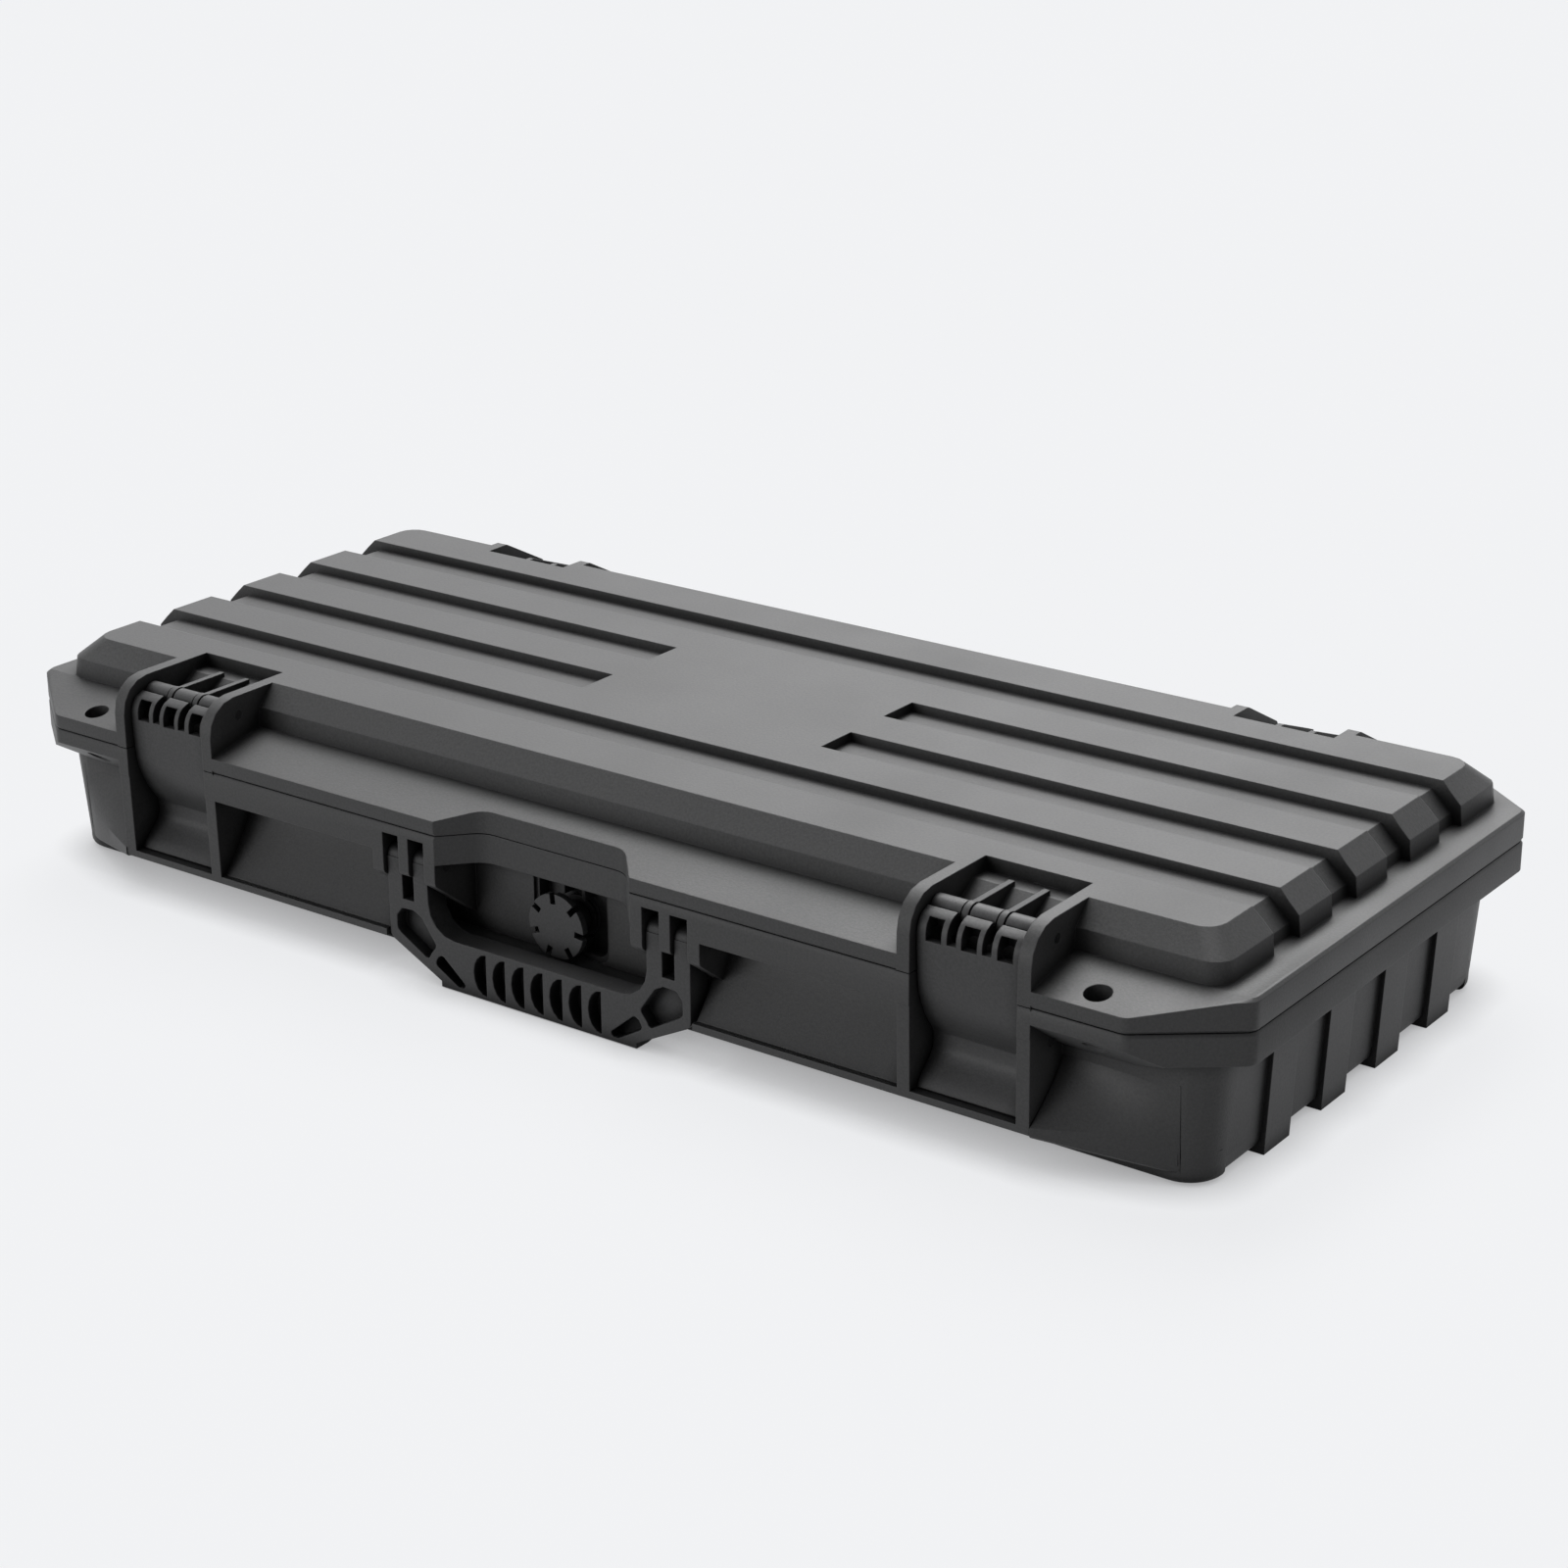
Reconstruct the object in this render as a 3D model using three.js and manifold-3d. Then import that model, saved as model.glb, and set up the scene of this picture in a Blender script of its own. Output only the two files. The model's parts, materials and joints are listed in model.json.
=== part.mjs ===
// Long flat protective hard case for watches: a ribbed lid on a deep-rimmed base, closed by two
// pinned latches, with a folding handle, a pressure valve and die-cut foam inside.
// Millimetres, +X along the case, -Y to the front (handle side), +Z up.
import * as THREE from "three";
import { mergeVertices } from "three/addons/utils/BufferGeometryUtils.js";
import Module from "manifold-3d";

const wasm = await Module();
wasm.setup();

// Driving sizes of the case
const flange_length = 640;
const flange_depth = 291.4;
const case_height = 101.1;
const flange_overhang_x = 16.5;
const flange_overhang_y = 25.7;
const seam_gap = 0.4;
const clearance = 0.3;
const overrun = 2;
const arc_steps = 8;
const fillet_steps = 4;

// Levels of the case as shares of its height, from the floor up
const level_shares = {
  shelf_top: 0.2008,
  lug_gusset_foot: 0.2572,
  handle_fork: 0.3581,
  valve: 0.362,
  rim_slope_foot: 0.4481,
  lug_bottom: 0.4679,
  catch_pin: 0.5045,
  handle_pivot: 0.5371,
  base_rim_bottom: 0.5618,
  foam_tray_top: 0.6133,
  front_rim_thin: 0.641,
  lug_window_top: 0.6489,
  seam: 0.6904,
  front_rim_top: 0.7547,
  lid_rim_top: 0.8239,
  leaf_pin: 0.8309,
  rear_cheek_heel: 0.8526,
};
const level = (name) => case_height * level_shares[name];
const shelf_top_z = level("shelf_top");
const lug_gusset_foot_z = level("lug_gusset_foot");
const handle_fork_z = level("handle_fork");
const valve_z = level("valve");
const rim_slope_foot_z = level("rim_slope_foot");
const lug_bottom_z = level("lug_bottom");
const catch_pin_z = level("catch_pin");
const handle_pivot_z = level("handle_pivot");
const base_rim_bottom_z = level("base_rim_bottom");
const foam_tray_top_z = level("foam_tray_top");
const front_rim_thin_z = level("front_rim_thin");
const lug_window_top_z = level("lug_window_top");
const seam_z = level("seam");
const front_rim_top_z = level("front_rim_top");
const lid_rim_top_z = level("lid_rim_top");
const leaf_pin_z = level("leaf_pin");
const rear_cheek_heel_z = level("rear_cheek_heel");

// Flange of base and lid
const flange_corner_x = 37.7;
const flange_corner_y = 29.3;
const flange_corner_round = 7;
const rim_edge_round = 1.2;

// Walls and floors
const side_wall = 5.5;
const long_wall = 6;
const floor_thickness = 3.2;
const wall_draft = 2.2;
const body_corner_round = 16;
const body_edge_round = 3;

// Runners under the base, which drop into the grooves of a lid below when cases are stacked
const runner_height = 6.3;
const runner_width = 20.5;
const band_proud = 2.3;

// Raised panel of the lid with its ribs
const panel_inset_x = 14;
const panel_inset_y = 26.7;
const panel_offset_y = 3.2;
const panel_chamfer = 9;
const panel_corner_round = 9;
const panel_draft = 1;
const rib_count = 5;
const rib_pitch = 46.7;
const rib_width = 24.2;
const groove_depth = 4.2;
const groove_flare = 1;
const patch_length = 130.4;
const roof_thickness = 3;

// Latch bays at the front and hinge bays at the rear, between cheeks
const bay_place_share = 0.6628;
const bay_width = 48.2;
const cheek_thickness = 5.9;
const cheek_round = 17;
const bay_side_gap = 0.6;
const front_bay_inset = 52.5;
const rear_bay_inset = 42;
const bay_ledge_depth = 6.3;
const bay_ledge_run = 8.5;
const bay_rib_offset = 7.9;
const bay_rib_thickness = 2.8;
const bay_rib_drop = 4.3;
const bay_wall = 3;
const pivot_inset = 18;
const pivot_drop = 9.2;
const leaf_pin_inset = 17.7;
const rear_cheek_slope_run = 28.3;
const rear_cheek_round = 3;
const ear_radius = 5.6;
const barrel_radius = 5.3;
const pin_radius = 2;
const pin_play = 0.35;

// Guard shelf along the foot of the front wall
const shelf_lip = 3;
const shelf_inset = 1.1;
const shelf_taper_length = 50;
const shelf_notch_play = 1.5;
const shelf_notch_depth = 17;

// Latch lever
const latch_wall = 3.6;
const latch_slot_extra = 1.4;
const latch_slot_drop = 7.9;
const latch_window_width = 7;
const latch_window_height = 9;
const latch_window_drop = 3.9;
const catch_pin_inset = 15.4;
const catch_pin_radius = 2;
const hook_play = 0.45;
const hook_wall = 2.3;

// Hinge leaf behind the case
const hinge_knuckle_radius = 6.3;
const hinge_axis_gap = 6.9;

// Finger notch of the flange over the handle
const notch_flat_length = 76;
const notch_open_length = 105;
const notch_depth = 15.9;
const notch_round = 12;

// Padlock holes through both flanges
const padlock_place_share = 0.8281;
const padlock_inset = 9.7;
const padlock_radius = 5.5;

// Handle and its lugs
const handle_width = 162.4;
const handle_leg_width = 22.2;
const handle_thickness = 11;
const handle_bottom_z = 0.6;
const handle_grip_height = 22.7;
const handle_grip_thickness = 14;
const handle_grip_round = 6.5;
const handle_pivot_inset = 7.6;
const handle_corner_rise = 16.8;
const handle_corner_run = 33.2;
const handle_side_round = 4;
const handle_foot_round = 16;
const handle_opening_round = 14;
const handle_tine_width = 7.9;
const handle_tine_radius = 5.2;
const grip_slot_count = 7;
const grip_slot_pitch = 10.37;
const grip_slot_width = 7;
const grip_slot_height = 19.2;
const grip_slot_rise = 11.1;
const grip_slot_depth = 6.5;
const corner_pocket_depth = 6;
const corner_pocket_round = 2;
const lug_play = 0.45;
const lug_plate = 6;

// Pressure valve in the front wall
const valve_pocket_width = 40;
const valve_knob_room = 1.5;
const valve_pocket_depth = 8;
const valve_pocket_round = 5;
const valve_frame_width = 1.8;
const valve_frame_depth = 1.6;
const valve_knob_radius = 14.6;
const valve_knob_reach = 10;
const valve_disc_length = 3.2;
const valve_hub_radius = 7;
const valve_notch_count = 7;
const valve_notch_width = 2.7;
const valve_notch_depth = 4.6;
const valve_notch_turn = -0.12;
const valve_rib_place = 5.4;
const valve_rib_width = 1.6;
const valve_stem_radius = 6;
const valve_flange_radius = 9.5;
const valve_flange_length = 1.6;
const valve_thread_length = 7;
const valve_nut_width = 20;
const valve_nut_length = 4.5;
const valve_seal_length = 1.6;
const valve_core_radius = 2.4;

// Lid seal and foam
const seal_width = 2.6;
const seal_height = 2.6;
const seal_tongue_width = 1.6;
const seal_tongue_height = 1.1;
const foam_play = 0.4;
const foam_pad_height = 9;
const pocket_columns = 4;
const pocket_rows = 2;
const pocket_margin_x = 32.4;
const pocket_margin_y = 18.4;
const pocket_gap_x = 26;
const pocket_gap_y = 22;
const pocket_round = 14;

// Sizes worked out from the ones above
const body_length = flange_length - 2 * flange_overhang_x;
const body_depth = flange_depth - 2 * flange_overhang_y;
const half_length = flange_length / 2;
const panel_length = flange_length - 2 * panel_inset_x;
const panel_depth = flange_depth - 2 * panel_inset_y;
const bay_centre_x = bay_place_share * half_length;
const padlock_x = padlock_place_share * half_length;
const front_y = -flange_depth / 2;
const rear_y = flange_depth / 2;
const wall_front_y = -body_depth / 2;
const wall_rear_y = body_depth / 2;
const pivot_y = front_y + pivot_inset;
const pivot_z = case_height - pivot_drop;
const leaf_pin_y = rear_y - leaf_pin_inset;
const ledge_z = case_height - bay_ledge_depth;
const rib_top_z = case_height - bay_rib_drop;
const catch_pin_y = front_y + catch_pin_inset;
const hinge_axis_y = rear_y + hinge_axis_gap;
const cheek_outer = bay_width / 2 + cheek_thickness;
const panel_front_y = panel_offset_y - panel_depth / 2;
const panel_rear_y = panel_offset_y + panel_depth / 2;
const groove_floor_z = case_height - groove_depth;
const roof_z = groove_floor_z - roof_thickness;
const floor_z = runner_height + floor_thickness;
const shelf_front_y = front_y + shelf_inset;
const handle_pivot_y = front_y + handle_pivot_inset;
const lid_seam_z = seam_z + seam_gap;
const tine_gap = handle_leg_width - 2 * handle_tine_width;
const valve_seat_y = wall_front_y + valve_pocket_depth;

// Solid from a closed three.js geometry
function solid(geometry) {
  const plain = geometry.index ? geometry.toNonIndexed() : geometry.clone();
  plain.deleteAttribute("normal");
  plain.deleteAttribute("uv");
  const merged = mergeVertices(plain, 1e-4);
  return new wasm.Manifold(
    new wasm.Mesh({
      numProp: 3,
      vertProperties: new Float32Array(merged.attributes.position.array),
      triVerts: new Uint32Array(merged.index.array),
    }),
  );
}

// Three.js geometry from a solid
function geometryOf(body) {
  const mesh = body.getMesh();
  const geometry = new THREE.BufferGeometry();
  geometry.setAttribute("position", new THREE.BufferAttribute(new Float32Array(mesh.vertProperties), 3));
  geometry.setIndex(new THREE.BufferAttribute(new Uint32Array(mesh.triVerts), 1));
  return geometry;
}

const join = (...bodies) => bodies.flat().reduce((sum, body) => sum.add(body));
const cut = (body, ...tools) => tools.flat().reduce((rest, tool) => rest.subtract(tool), body);

// Box between two corners
function box(x0, x1, y0, y1, z0, z1) {
  const geometry = new THREE.BoxGeometry(x1 - x0, y1 - y0, z1 - z0);
  return solid(geometry.translate((x0 + x1) / 2, (y0 + y1) / 2, (z0 + z1) / 2));
}

// Outline of corners [u, v, fillet radius], with each fillet as a round arc
function outline(corners) {
  const points = [];
  corners.forEach(([u, v, radius = 0], i) => {
    const corner = new THREE.Vector2(u, v);
    if (!radius) {
      points.push(corner);
      return;
    }
    const [pu, pv] = corners[(i + corners.length - 1) % corners.length];
    const [nu, nv] = corners[(i + 1) % corners.length];
    const back = new THREE.Vector2(pu - u, pv - v);
    const ahead = new THREE.Vector2(nu - u, nv - v);
    const half = Math.abs(back.angleTo(ahead)) / 2;
    const reach = Math.min(radius / Math.tan(half), back.length() / 2.01, ahead.length() / 2.01);
    const turn = Math.sign(ahead.cross(back)) * (Math.PI - 2 * half);
    const start = corner.clone().addScaledVector(back.normalize(), reach);
    const middle = back.add(ahead.normalize()).normalize();
    const centre = corner.clone().addScaledVector(middle, reach / Math.cos(half));
    for (let step = 0; step <= fillet_steps; step++) {
      points.push(start.clone().rotateAround(centre, (turn * step) / fillet_steps));
    }
  });
  return points;
}

const bothSides = (corners) => [...corners, ...corners.map(([u, v, r]) => [-u, v, r]).reverse()];

// Prisms of a flat outline along X (outline in Y and Z), Y (X and Z) and Z (X and Y)
function prism(points, from, to, basis) {
  const shape = new THREE.Shape(points);
  const geometry = new THREE.ExtrudeGeometry(shape, { depth: to - from, bevelEnabled: false });
  geometry.translate(0, 0, from);
  return solid(geometry.applyMatrix4(new THREE.Matrix4().makeBasis(...basis)));
}
const X = new THREE.Vector3(1, 0, 0);
const Y = new THREE.Vector3(0, 1, 0);
const Z = new THREE.Vector3(0, 0, 1);
const prismX = (points, x0, x1) => prism(points, x0, x1, [Y, Z, X]);
const prismY = (points, y0, y1) => prism(points, -y1, -y0, [X, Z, Y.clone().negate()]);
const prismZ = (points, z0, z1) => prism(points, z0, z1, [X, Y, Z]);

// Round bar along X or Y
function barX(radius, x0, x1, y, z, sides = 3 * arc_steps) {
  const geometry = new THREE.CylinderGeometry(radius, radius, x1 - x0, sides);
  return solid(geometry.rotateZ(Math.PI / 2).translate((x0 + x1) / 2, y, z));
}
function barY(radius, y0, y1, x, z, sides = 4 * arc_steps) {
  const geometry = new THREE.CylinderGeometry(radius, radius, y1 - y0, sides);
  return solid(geometry.translate(x, (y0 + y1) / 2, z));
}
function barZ(radius, z0, z1, x, y) {
  const geometry = new THREE.CylinderGeometry(radius, radius, z1 - z0, 3 * arc_steps);
  return solid(geometry.rotateX(Math.PI / 2).translate(x, y, (z0 + z1) / 2));
}

// Convex solid through stacked outlines with equal point counts, level = [z, points]
function loft(levels) {
  const count = levels[0][1].length;
  const positions = levels.flatMap(([z, points]) => points.flatMap((p) => [p.x, p.y, z]));
  const index = [];
  levels.slice(1).forEach((_, row) => {
    for (let i = 0; i < count; i++) {
      const a = row * count + i;
      const b = row * count + ((i + 1) % count);
      index.push(a, b, b + count, a, b + count, a + count);
    }
  });
  const top = (levels.length - 1) * count;
  for (let i = 1; i < count - 1; i++) {
    index.push(0, i + 1, i, top, top + i, top + i + 1);
  }
  const geometry = new THREE.BufferGeometry();
  geometry.setAttribute("position", new THREE.Float32BufferAttribute(positions, 3));
  geometry.setIndex(index);
  return solid(geometry);
}

// Rounded rectangle of half length a between y0 and y1
const roundedRect = (a, y0, y1, r) => outline([[-a, y0, r], [a, y0, r], [a, y1, r], [-a, y1, r]]);

// Flange outline with its cut corners, pulled in by an inset
function flangeOutline(inset = 0, inset_y = inset) {
  const a = half_length - inset;
  const b = rear_y - inset_y;
  const cx = flange_corner_x;
  const cy = flange_corner_y;
  const r = flange_corner_round;
  const right = [[a - cx, -b, r], [a, cy - b, r], [a, b - cy, r], [a - cx, b, r]];
  return outline(bothSides(right));
}

// Drafted body outline at a height, outer faces pulled in by an inset
function bodyOutline(z, inset_x = 0, inset_y = inset_x) {
  const lean = wall_draft * (z / rim_slope_foot_z);
  const a = body_length / 2 + lean - inset_x;
  const r = Math.max(body_corner_round - inset_y, body_edge_round);
  return roundedRect(a, wall_front_y - lean + inset_y, wall_rear_y + lean - inset_y, r);
}

const signs = [-1, 1];
const bay_rib_places = signs.map((side) => side * bay_rib_offset);
const sideName = (side) => (side < 0 ? "left" : "right");

// Notch that opens the flange over the handle
function fingerNotch(z0, z1) {
  const r = notch_round;
  const right = [[notch_open_length / 2, front_y - overrun, 0], [notch_open_length / 2, front_y, 0]];
  const inner = [notch_flat_length / 2, front_y + notch_depth, r];
  return prismZ(outline(bothSides([...right, inner])), z0, z1);
}

// Padlock holes through a flange
const padlockHoles = (z0, z1) =>
  signs.map((side) => barZ(padlock_radius, z0, z1, side * padlock_x, front_y + padlock_inset));

// The two kinds of bay in the lid: latches in front, hinges behind. The outer top of a cheek is
// square and rounded in front and slopes down to the rim behind.
const bays = {
  front: {
    end: -1,
    inset: front_bay_inset,
    pin: [-pivot_y, pivot_z],
    cheek_top: [[rear_y, case_height, cheek_round]],
    rib_top: [[-pivot_y, rib_top_z], [-pivot_y, pivot_z]],
  },
  rear: {
    end: 1,
    inset: rear_bay_inset,
    pin: [leaf_pin_y, leaf_pin_z],
    cheek_top: [
      [rear_y, rear_cheek_heel_z, rear_cheek_round],
      [rear_y - rear_cheek_slope_run, case_height, rear_cheek_round],
    ],
    rib_top: [[rear_y - rear_cheek_slope_run, rib_top_z], [rear_y, rear_cheek_heel_z], [rear_y, lid_rim_top_z]],
  },
};
const perBay = (bay, make) => signs.map((side) => make(side * bay_centre_x, bay));
const everyBay = (make) => [...perBay(bays.front, make), ...perBay(bays.rear, make)].flat();
const facing = (bay, corners) => outline(corners.map(([y, z, r]) => [bay.end * y, z, r]));

function lidCheeks(x, bay) {
  const inner = rear_y - bay.inset - overrun;
  const low = [[inner, lid_seam_z + bay_wall], [rear_y, lid_seam_z]];
  const profile = facing(bay, [...low, ...bay.cheek_top, [inner, case_height]]);
  return prismX(profile, x - cheek_outer, x + cheek_outer);
}

// Room between the cheeks, or with a margin the skin around it
function lidBayProfile(bay, grow = 0) {
  const edge = rear_y + overrun;
  const back = rear_y - bay.inset - grow;
  const foot = wall_rear_y - grow;
  return facing(bay, [
    [foot, seam_z - overrun],
    [edge, seam_z - overrun],
    [edge, case_height + overrun],
    [back, case_height + overrun],
    [back, ledge_z - grow],
    [back + bay_ledge_run, ledge_z - grow],
    [foot, lid_rim_top_z],
  ]);
}
const lidBayRoom = (x, bay) => prismX(lidBayProfile(bay), x - bay_width / 2, x + bay_width / 2);
const lidBaySkin = (x, bay) => prismX(lidBayProfile(bay, bay_wall), x - cheek_outer, x + cheek_outer);

function lidBayRibs(x, bay) {
  const [pin_y, pin_z] = bay.pin;
  const foot = rear_y - bay.inset + bay_ledge_run - overrun;
  const low = [wall_rear_y - overrun, pin_z - ear_radius];
  const web = facing(bay, [[foot, rib_top_z], [foot, ledge_z - bay_wall], low, [pin_y, pin_z - ear_radius], ...bay.rib_top.toReversed()]);
  return bay_rib_places.map((shift) => {
    const from = x + shift - bay_rib_thickness / 2;
    const to = from + bay_rib_thickness;
    return join(prismX(web, from, to), barX(ear_radius, from, to, bay.end * pin_y, pin_z));
  });
}
const lidPinHole = (x, bay) =>
  barX(pin_radius, x - cheek_outer - overrun, x + cheek_outer + overrun, bay.end * bay.pin[0], bay.pin[1]);

// Ring for the lid seal, in plan, half_gap either side of its centre line
function sealRing(z0, z1, half_gap) {
  const a = body_length / 2 - side_wall / 2;
  const b = body_depth / 2 - long_wall / 2;
  const r = body_corner_round;
  const outer = prismZ(roundedRect(a + half_gap, -b - half_gap, b + half_gap, r), z0, z1);
  const inner = prismZ(roundedRect(a - half_gap, half_gap - b, b - half_gap, r), z0 - overrun, z1 + overrun);
  return cut(outer, inner);
}

// Base shell
function baseRim() {
  const inset_x = half_length - body_length / 2 - wall_draft;
  const inset_y = rear_y - body_depth / 2 - wall_draft;
  const rim = loft([
    [rim_slope_foot_z, flangeOutline(inset_x, inset_y)],
    [base_rim_bottom_z, flangeOutline()],
    [seam_z - rim_edge_round, flangeOutline()],
    [seam_z, flangeOutline(rim_edge_round / 2)],
  ]);
  const under = [
    [front_y - overrun, front_rim_thin_z],
    [wall_front_y, rim_slope_foot_z],
    [wall_front_y, rim_slope_foot_z - overrun],
    [front_y - overrun, rim_slope_foot_z - overrun],
  ];
  const wedges = signs.map((side) => {
    const edges = [side * (bay_centre_x + cheek_outer), side * (half_length + overrun)].sort((a, b) => a - b);
    return prismX(outline(under), ...edges);
  });
  return cut(rim, wedges);
}

function guardShelf() {
  const straight = bay_centre_x + cheek_outer;
  const plan = (front) =>
    outline(bothSides([
      [straight, front, 0],
      [straight + shelf_taper_length, wall_front_y, 0],
      [straight + shelf_taper_length, wall_front_y + overrun, 0],
    ]));
  const shelf = loft([
    [runner_height + body_edge_round, plan(wall_front_y - overrun)],
    [shelf_top_z - shelf_lip, plan(shelf_front_y)],
    [shelf_top_z, plan(shelf_front_y)],
  ]);
  const half = handle_width / 2 + shelf_notch_play;
  const notch = box(-half, half, shelf_front_y - overrun, shelf_front_y + shelf_notch_depth, 0, shelf_top_z + overrun);
  return cut(shelf, notch);
}

function baseCheeks(x) {
  const wall_in = wall_front_y + overrun;
  const profile = [
    [wall_in, shelf_top_z - shelf_lip],
    [wall_in, seam_z],
    [front_y, seam_z],
    [shelf_front_y, shelf_top_z - shelf_lip],
  ];
  return prismX(outline(profile), x - cheek_outer, x + cheek_outer);
}
function baseBayRoom(x) {
  const half = bay_width / 2;
  return box(x - half, x + half, front_y - overrun, wall_front_y, shelf_top_z, seam_z + overrun);
}

// Open fields of the front wall between rim and guard shelf
function frontFields() {
  const edge = bay_centre_x - cheek_outer;
  return box(-edge, edge, front_y - overrun, wall_front_y, shelf_top_z, base_rim_bottom_z);
}

// Rear lugs that carry the hinge pins
function hingeLugs(x) {
  const foot = wall_rear_y - overrun;
  const profile = [
    [foot, lug_gusset_foot_z],
    [hinge_axis_y + hinge_knuckle_radius, seam_z - hinge_knuckle_radius / 2, hinge_knuckle_radius],
    [hinge_axis_y + hinge_knuckle_radius, seam_z, 0],
    [foot, seam_z],
  ];
  return [-1, 1].map((side) => {
    const inner = x + side * (bay_width / 2);
    const outer = x + side * cheek_outer;
    const edges = [inner, outer].sort((a, b) => a - b);
    const web = prismX(outline(profile), ...edges);
    return join(web, barX(hinge_knuckle_radius, ...edges, hinge_axis_y, seam_z));
  });
}

// Lugs under the rim that carry the handle
function handleLugs(side) {
  const outer = handle_width / 2;
  const inner = outer - handle_leg_width;
  const plates = [
    [inner - lug_play - lug_plate, inner - lug_play],
    [inner + handle_tine_width + lug_play, inner + handle_tine_width + tine_gap - lug_play],
    [outer + lug_play, outer + lug_play + lug_plate],
  ];
  const foot = wall_front_y + overrun;
  const short = [[foot, lug_bottom_z], [foot, base_rim_bottom_z + overrun], [front_y, base_rim_bottom_z + overrun]];
  const low = [front_y, lug_bottom_z, lug_plate / 2];
  const long = [[foot, lug_gusset_foot_z], ...short.slice(1)];
  return plates.map(([a, b], i) => {
    const edges = [side * a, side * b].sort((p, q) => p - q);
    return prismX(outline([...(i === 1 ? short : long), low]), ...edges);
  });
}
function handleWindows(side) {
  const inner = handle_width / 2 - handle_leg_width;
  return [0, handle_tine_width + tine_gap].map((shift) => {
    const edges = [side * (inner + shift - lug_play), side * (inner + shift + handle_tine_width + lug_play)];
    const back = handle_pivot_y + handle_tine_radius + 2 * lug_play;
    edges.sort((p, q) => p - q);
    return box(...edges, front_y - overrun, back, lug_bottom_z - overrun, lug_window_top_z);
  });
}

// Pocket around the valve's knob: a shallow outer step, then a deeper room with two ribs, or
// with a margin the skin around it
function valvePocket(grow = 0) {
  const half = valve_pocket_width / 2 + grow;
  const low = valve_z - valve_knob_radius - valve_knob_room - grow;
  const high = base_rim_bottom_z + grow;
  const frame = (inset) =>
    outline(bothSides([[half - inset, low + inset, valve_pocket_round], [half - inset, high, 0]]));
  if (grow > 0) {
    return prismY(frame(0), wall_front_y - overrun, valve_seat_y + grow);
  }
  const step = prismY(frame(0), wall_front_y - overrun, wall_front_y + valve_frame_depth);
  const room = prismY(frame(valve_frame_width), wall_front_y - overrun, valve_seat_y);
  const ribs = signs.map((side) => {
    const x = side * valve_rib_place;
    const w = valve_rib_width / 2;
    return box(x - w, x + w, wall_front_y + overrun, valve_seat_y + overrun, low, high + overrun);
  });
  const hub_room = barY(valve_flange_radius + valve_knob_room, wall_front_y, valve_seat_y, 0, valve_z);
  return join(cut(join(step, room), ribs), hub_room);
}

// Bands up the end walls that run on under the floor as runners
const groove_centres = Array.from({ length: rib_count - 1 }, (_, i) =>
  panel_offset_y + rib_pitch * (i - (rib_count - 2) / 2));
function runner(y) {
  const foot = body_length / 2 + band_proud;
  const head = foot + wall_draft;
  const core = body_length / 2 - side_wall;
  const right = [[foot, 0], [head, rim_slope_foot_z + overrun], [core, rim_slope_foot_z + overrun], [core, floor_z - overrun / 2]];
  return prismY(outline(bothSides(right)), y - runner_width / 2, y + runner_width / 2);
}

function baseShell() {
  const tub = loft([
    [runner_height, bodyOutline(0, body_edge_round)],
    [runner_height + body_edge_round, bodyOutline(body_edge_round)],
    [base_rim_bottom_z, bodyOutline(base_rim_bottom_z)],
  ]);
  const cavity = loft([
    [floor_z, bodyOutline(0, side_wall + wall_draft, long_wall + wall_draft)],
    [rim_slope_foot_z, bodyOutline(0, side_wall, long_wall)],
    [seam_z + overrun, bodyOutline(0, side_wall, long_wall)],
  ]);
  const lug_sets = signs.flatMap((side) => handleLugs(side));
  const outer = join(tub, baseRim(), guardShelf(), perBay(bays.front, baseCheeks));
  const opened = join(
    cut(outer, perBay(bays.front, baseBayRoom), frontFields(), fingerNotch(base_rim_bottom_z - overrun, seam_z + overrun)),
    lug_sets,
    perBay(bays.rear, hingeLugs).flat(),
    groove_centres.map(runner),
  );
  const hollow = cut(cavity, valvePocket(bay_wall));
  const tongue = sealRing(seam_z - overrun, seam_z + seam_gap + seal_tongue_height, seal_tongue_width / 2);
  const handle_pins = signs.map((side) => {
    const x = side * (handle_width / 2 - handle_leg_width / 2);
    return barX(pin_radius, x - handle_leg_width, x + handle_leg_width, handle_pivot_y, handle_pivot_z);
  });
  const holes = [
    perBay(bays.front, (x) => barX(catch_pin_radius, x - cheek_outer - overrun, x + cheek_outer + overrun, catch_pin_y, catch_pin_z)),
    perBay(bays.rear, (x) => barX(pin_radius, x - cheek_outer - overrun, x + cheek_outer + overrun, hinge_axis_y, seam_z)),
    padlockHoles(rim_slope_foot_z - overrun, seam_z + overrun),
    signs.flatMap((side) => handleWindows(side)),
    handle_pins,
    valvePocket(),
    barY(valve_stem_radius + clearance, wall_front_y - overrun, valve_seat_y + bay_wall + overrun, 0, valve_z),
  ].flat();
  return join(cut(opened, hollow, holes), tongue);
}

// Lid shell
function lidRim() {
  const rim = loft([
    [lid_seam_z, flangeOutline(rim_edge_round / 2)],
    [lid_seam_z + rim_edge_round, flangeOutline()],
    [lid_rim_top_z - rim_edge_round, flangeOutline()],
    [lid_rim_top_z, flangeOutline(rim_edge_round)],
  ]);
  const slope = [
    [panel_front_y, lid_rim_top_z],
    [panel_front_y, lid_rim_top_z + overrun],
    [front_y - overrun, lid_rim_top_z + overrun],
    [front_y - overrun, front_rim_top_z],
  ];
  return cut(rim, prismX(outline(slope), -half_length - overrun, half_length + overrun));
}

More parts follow.
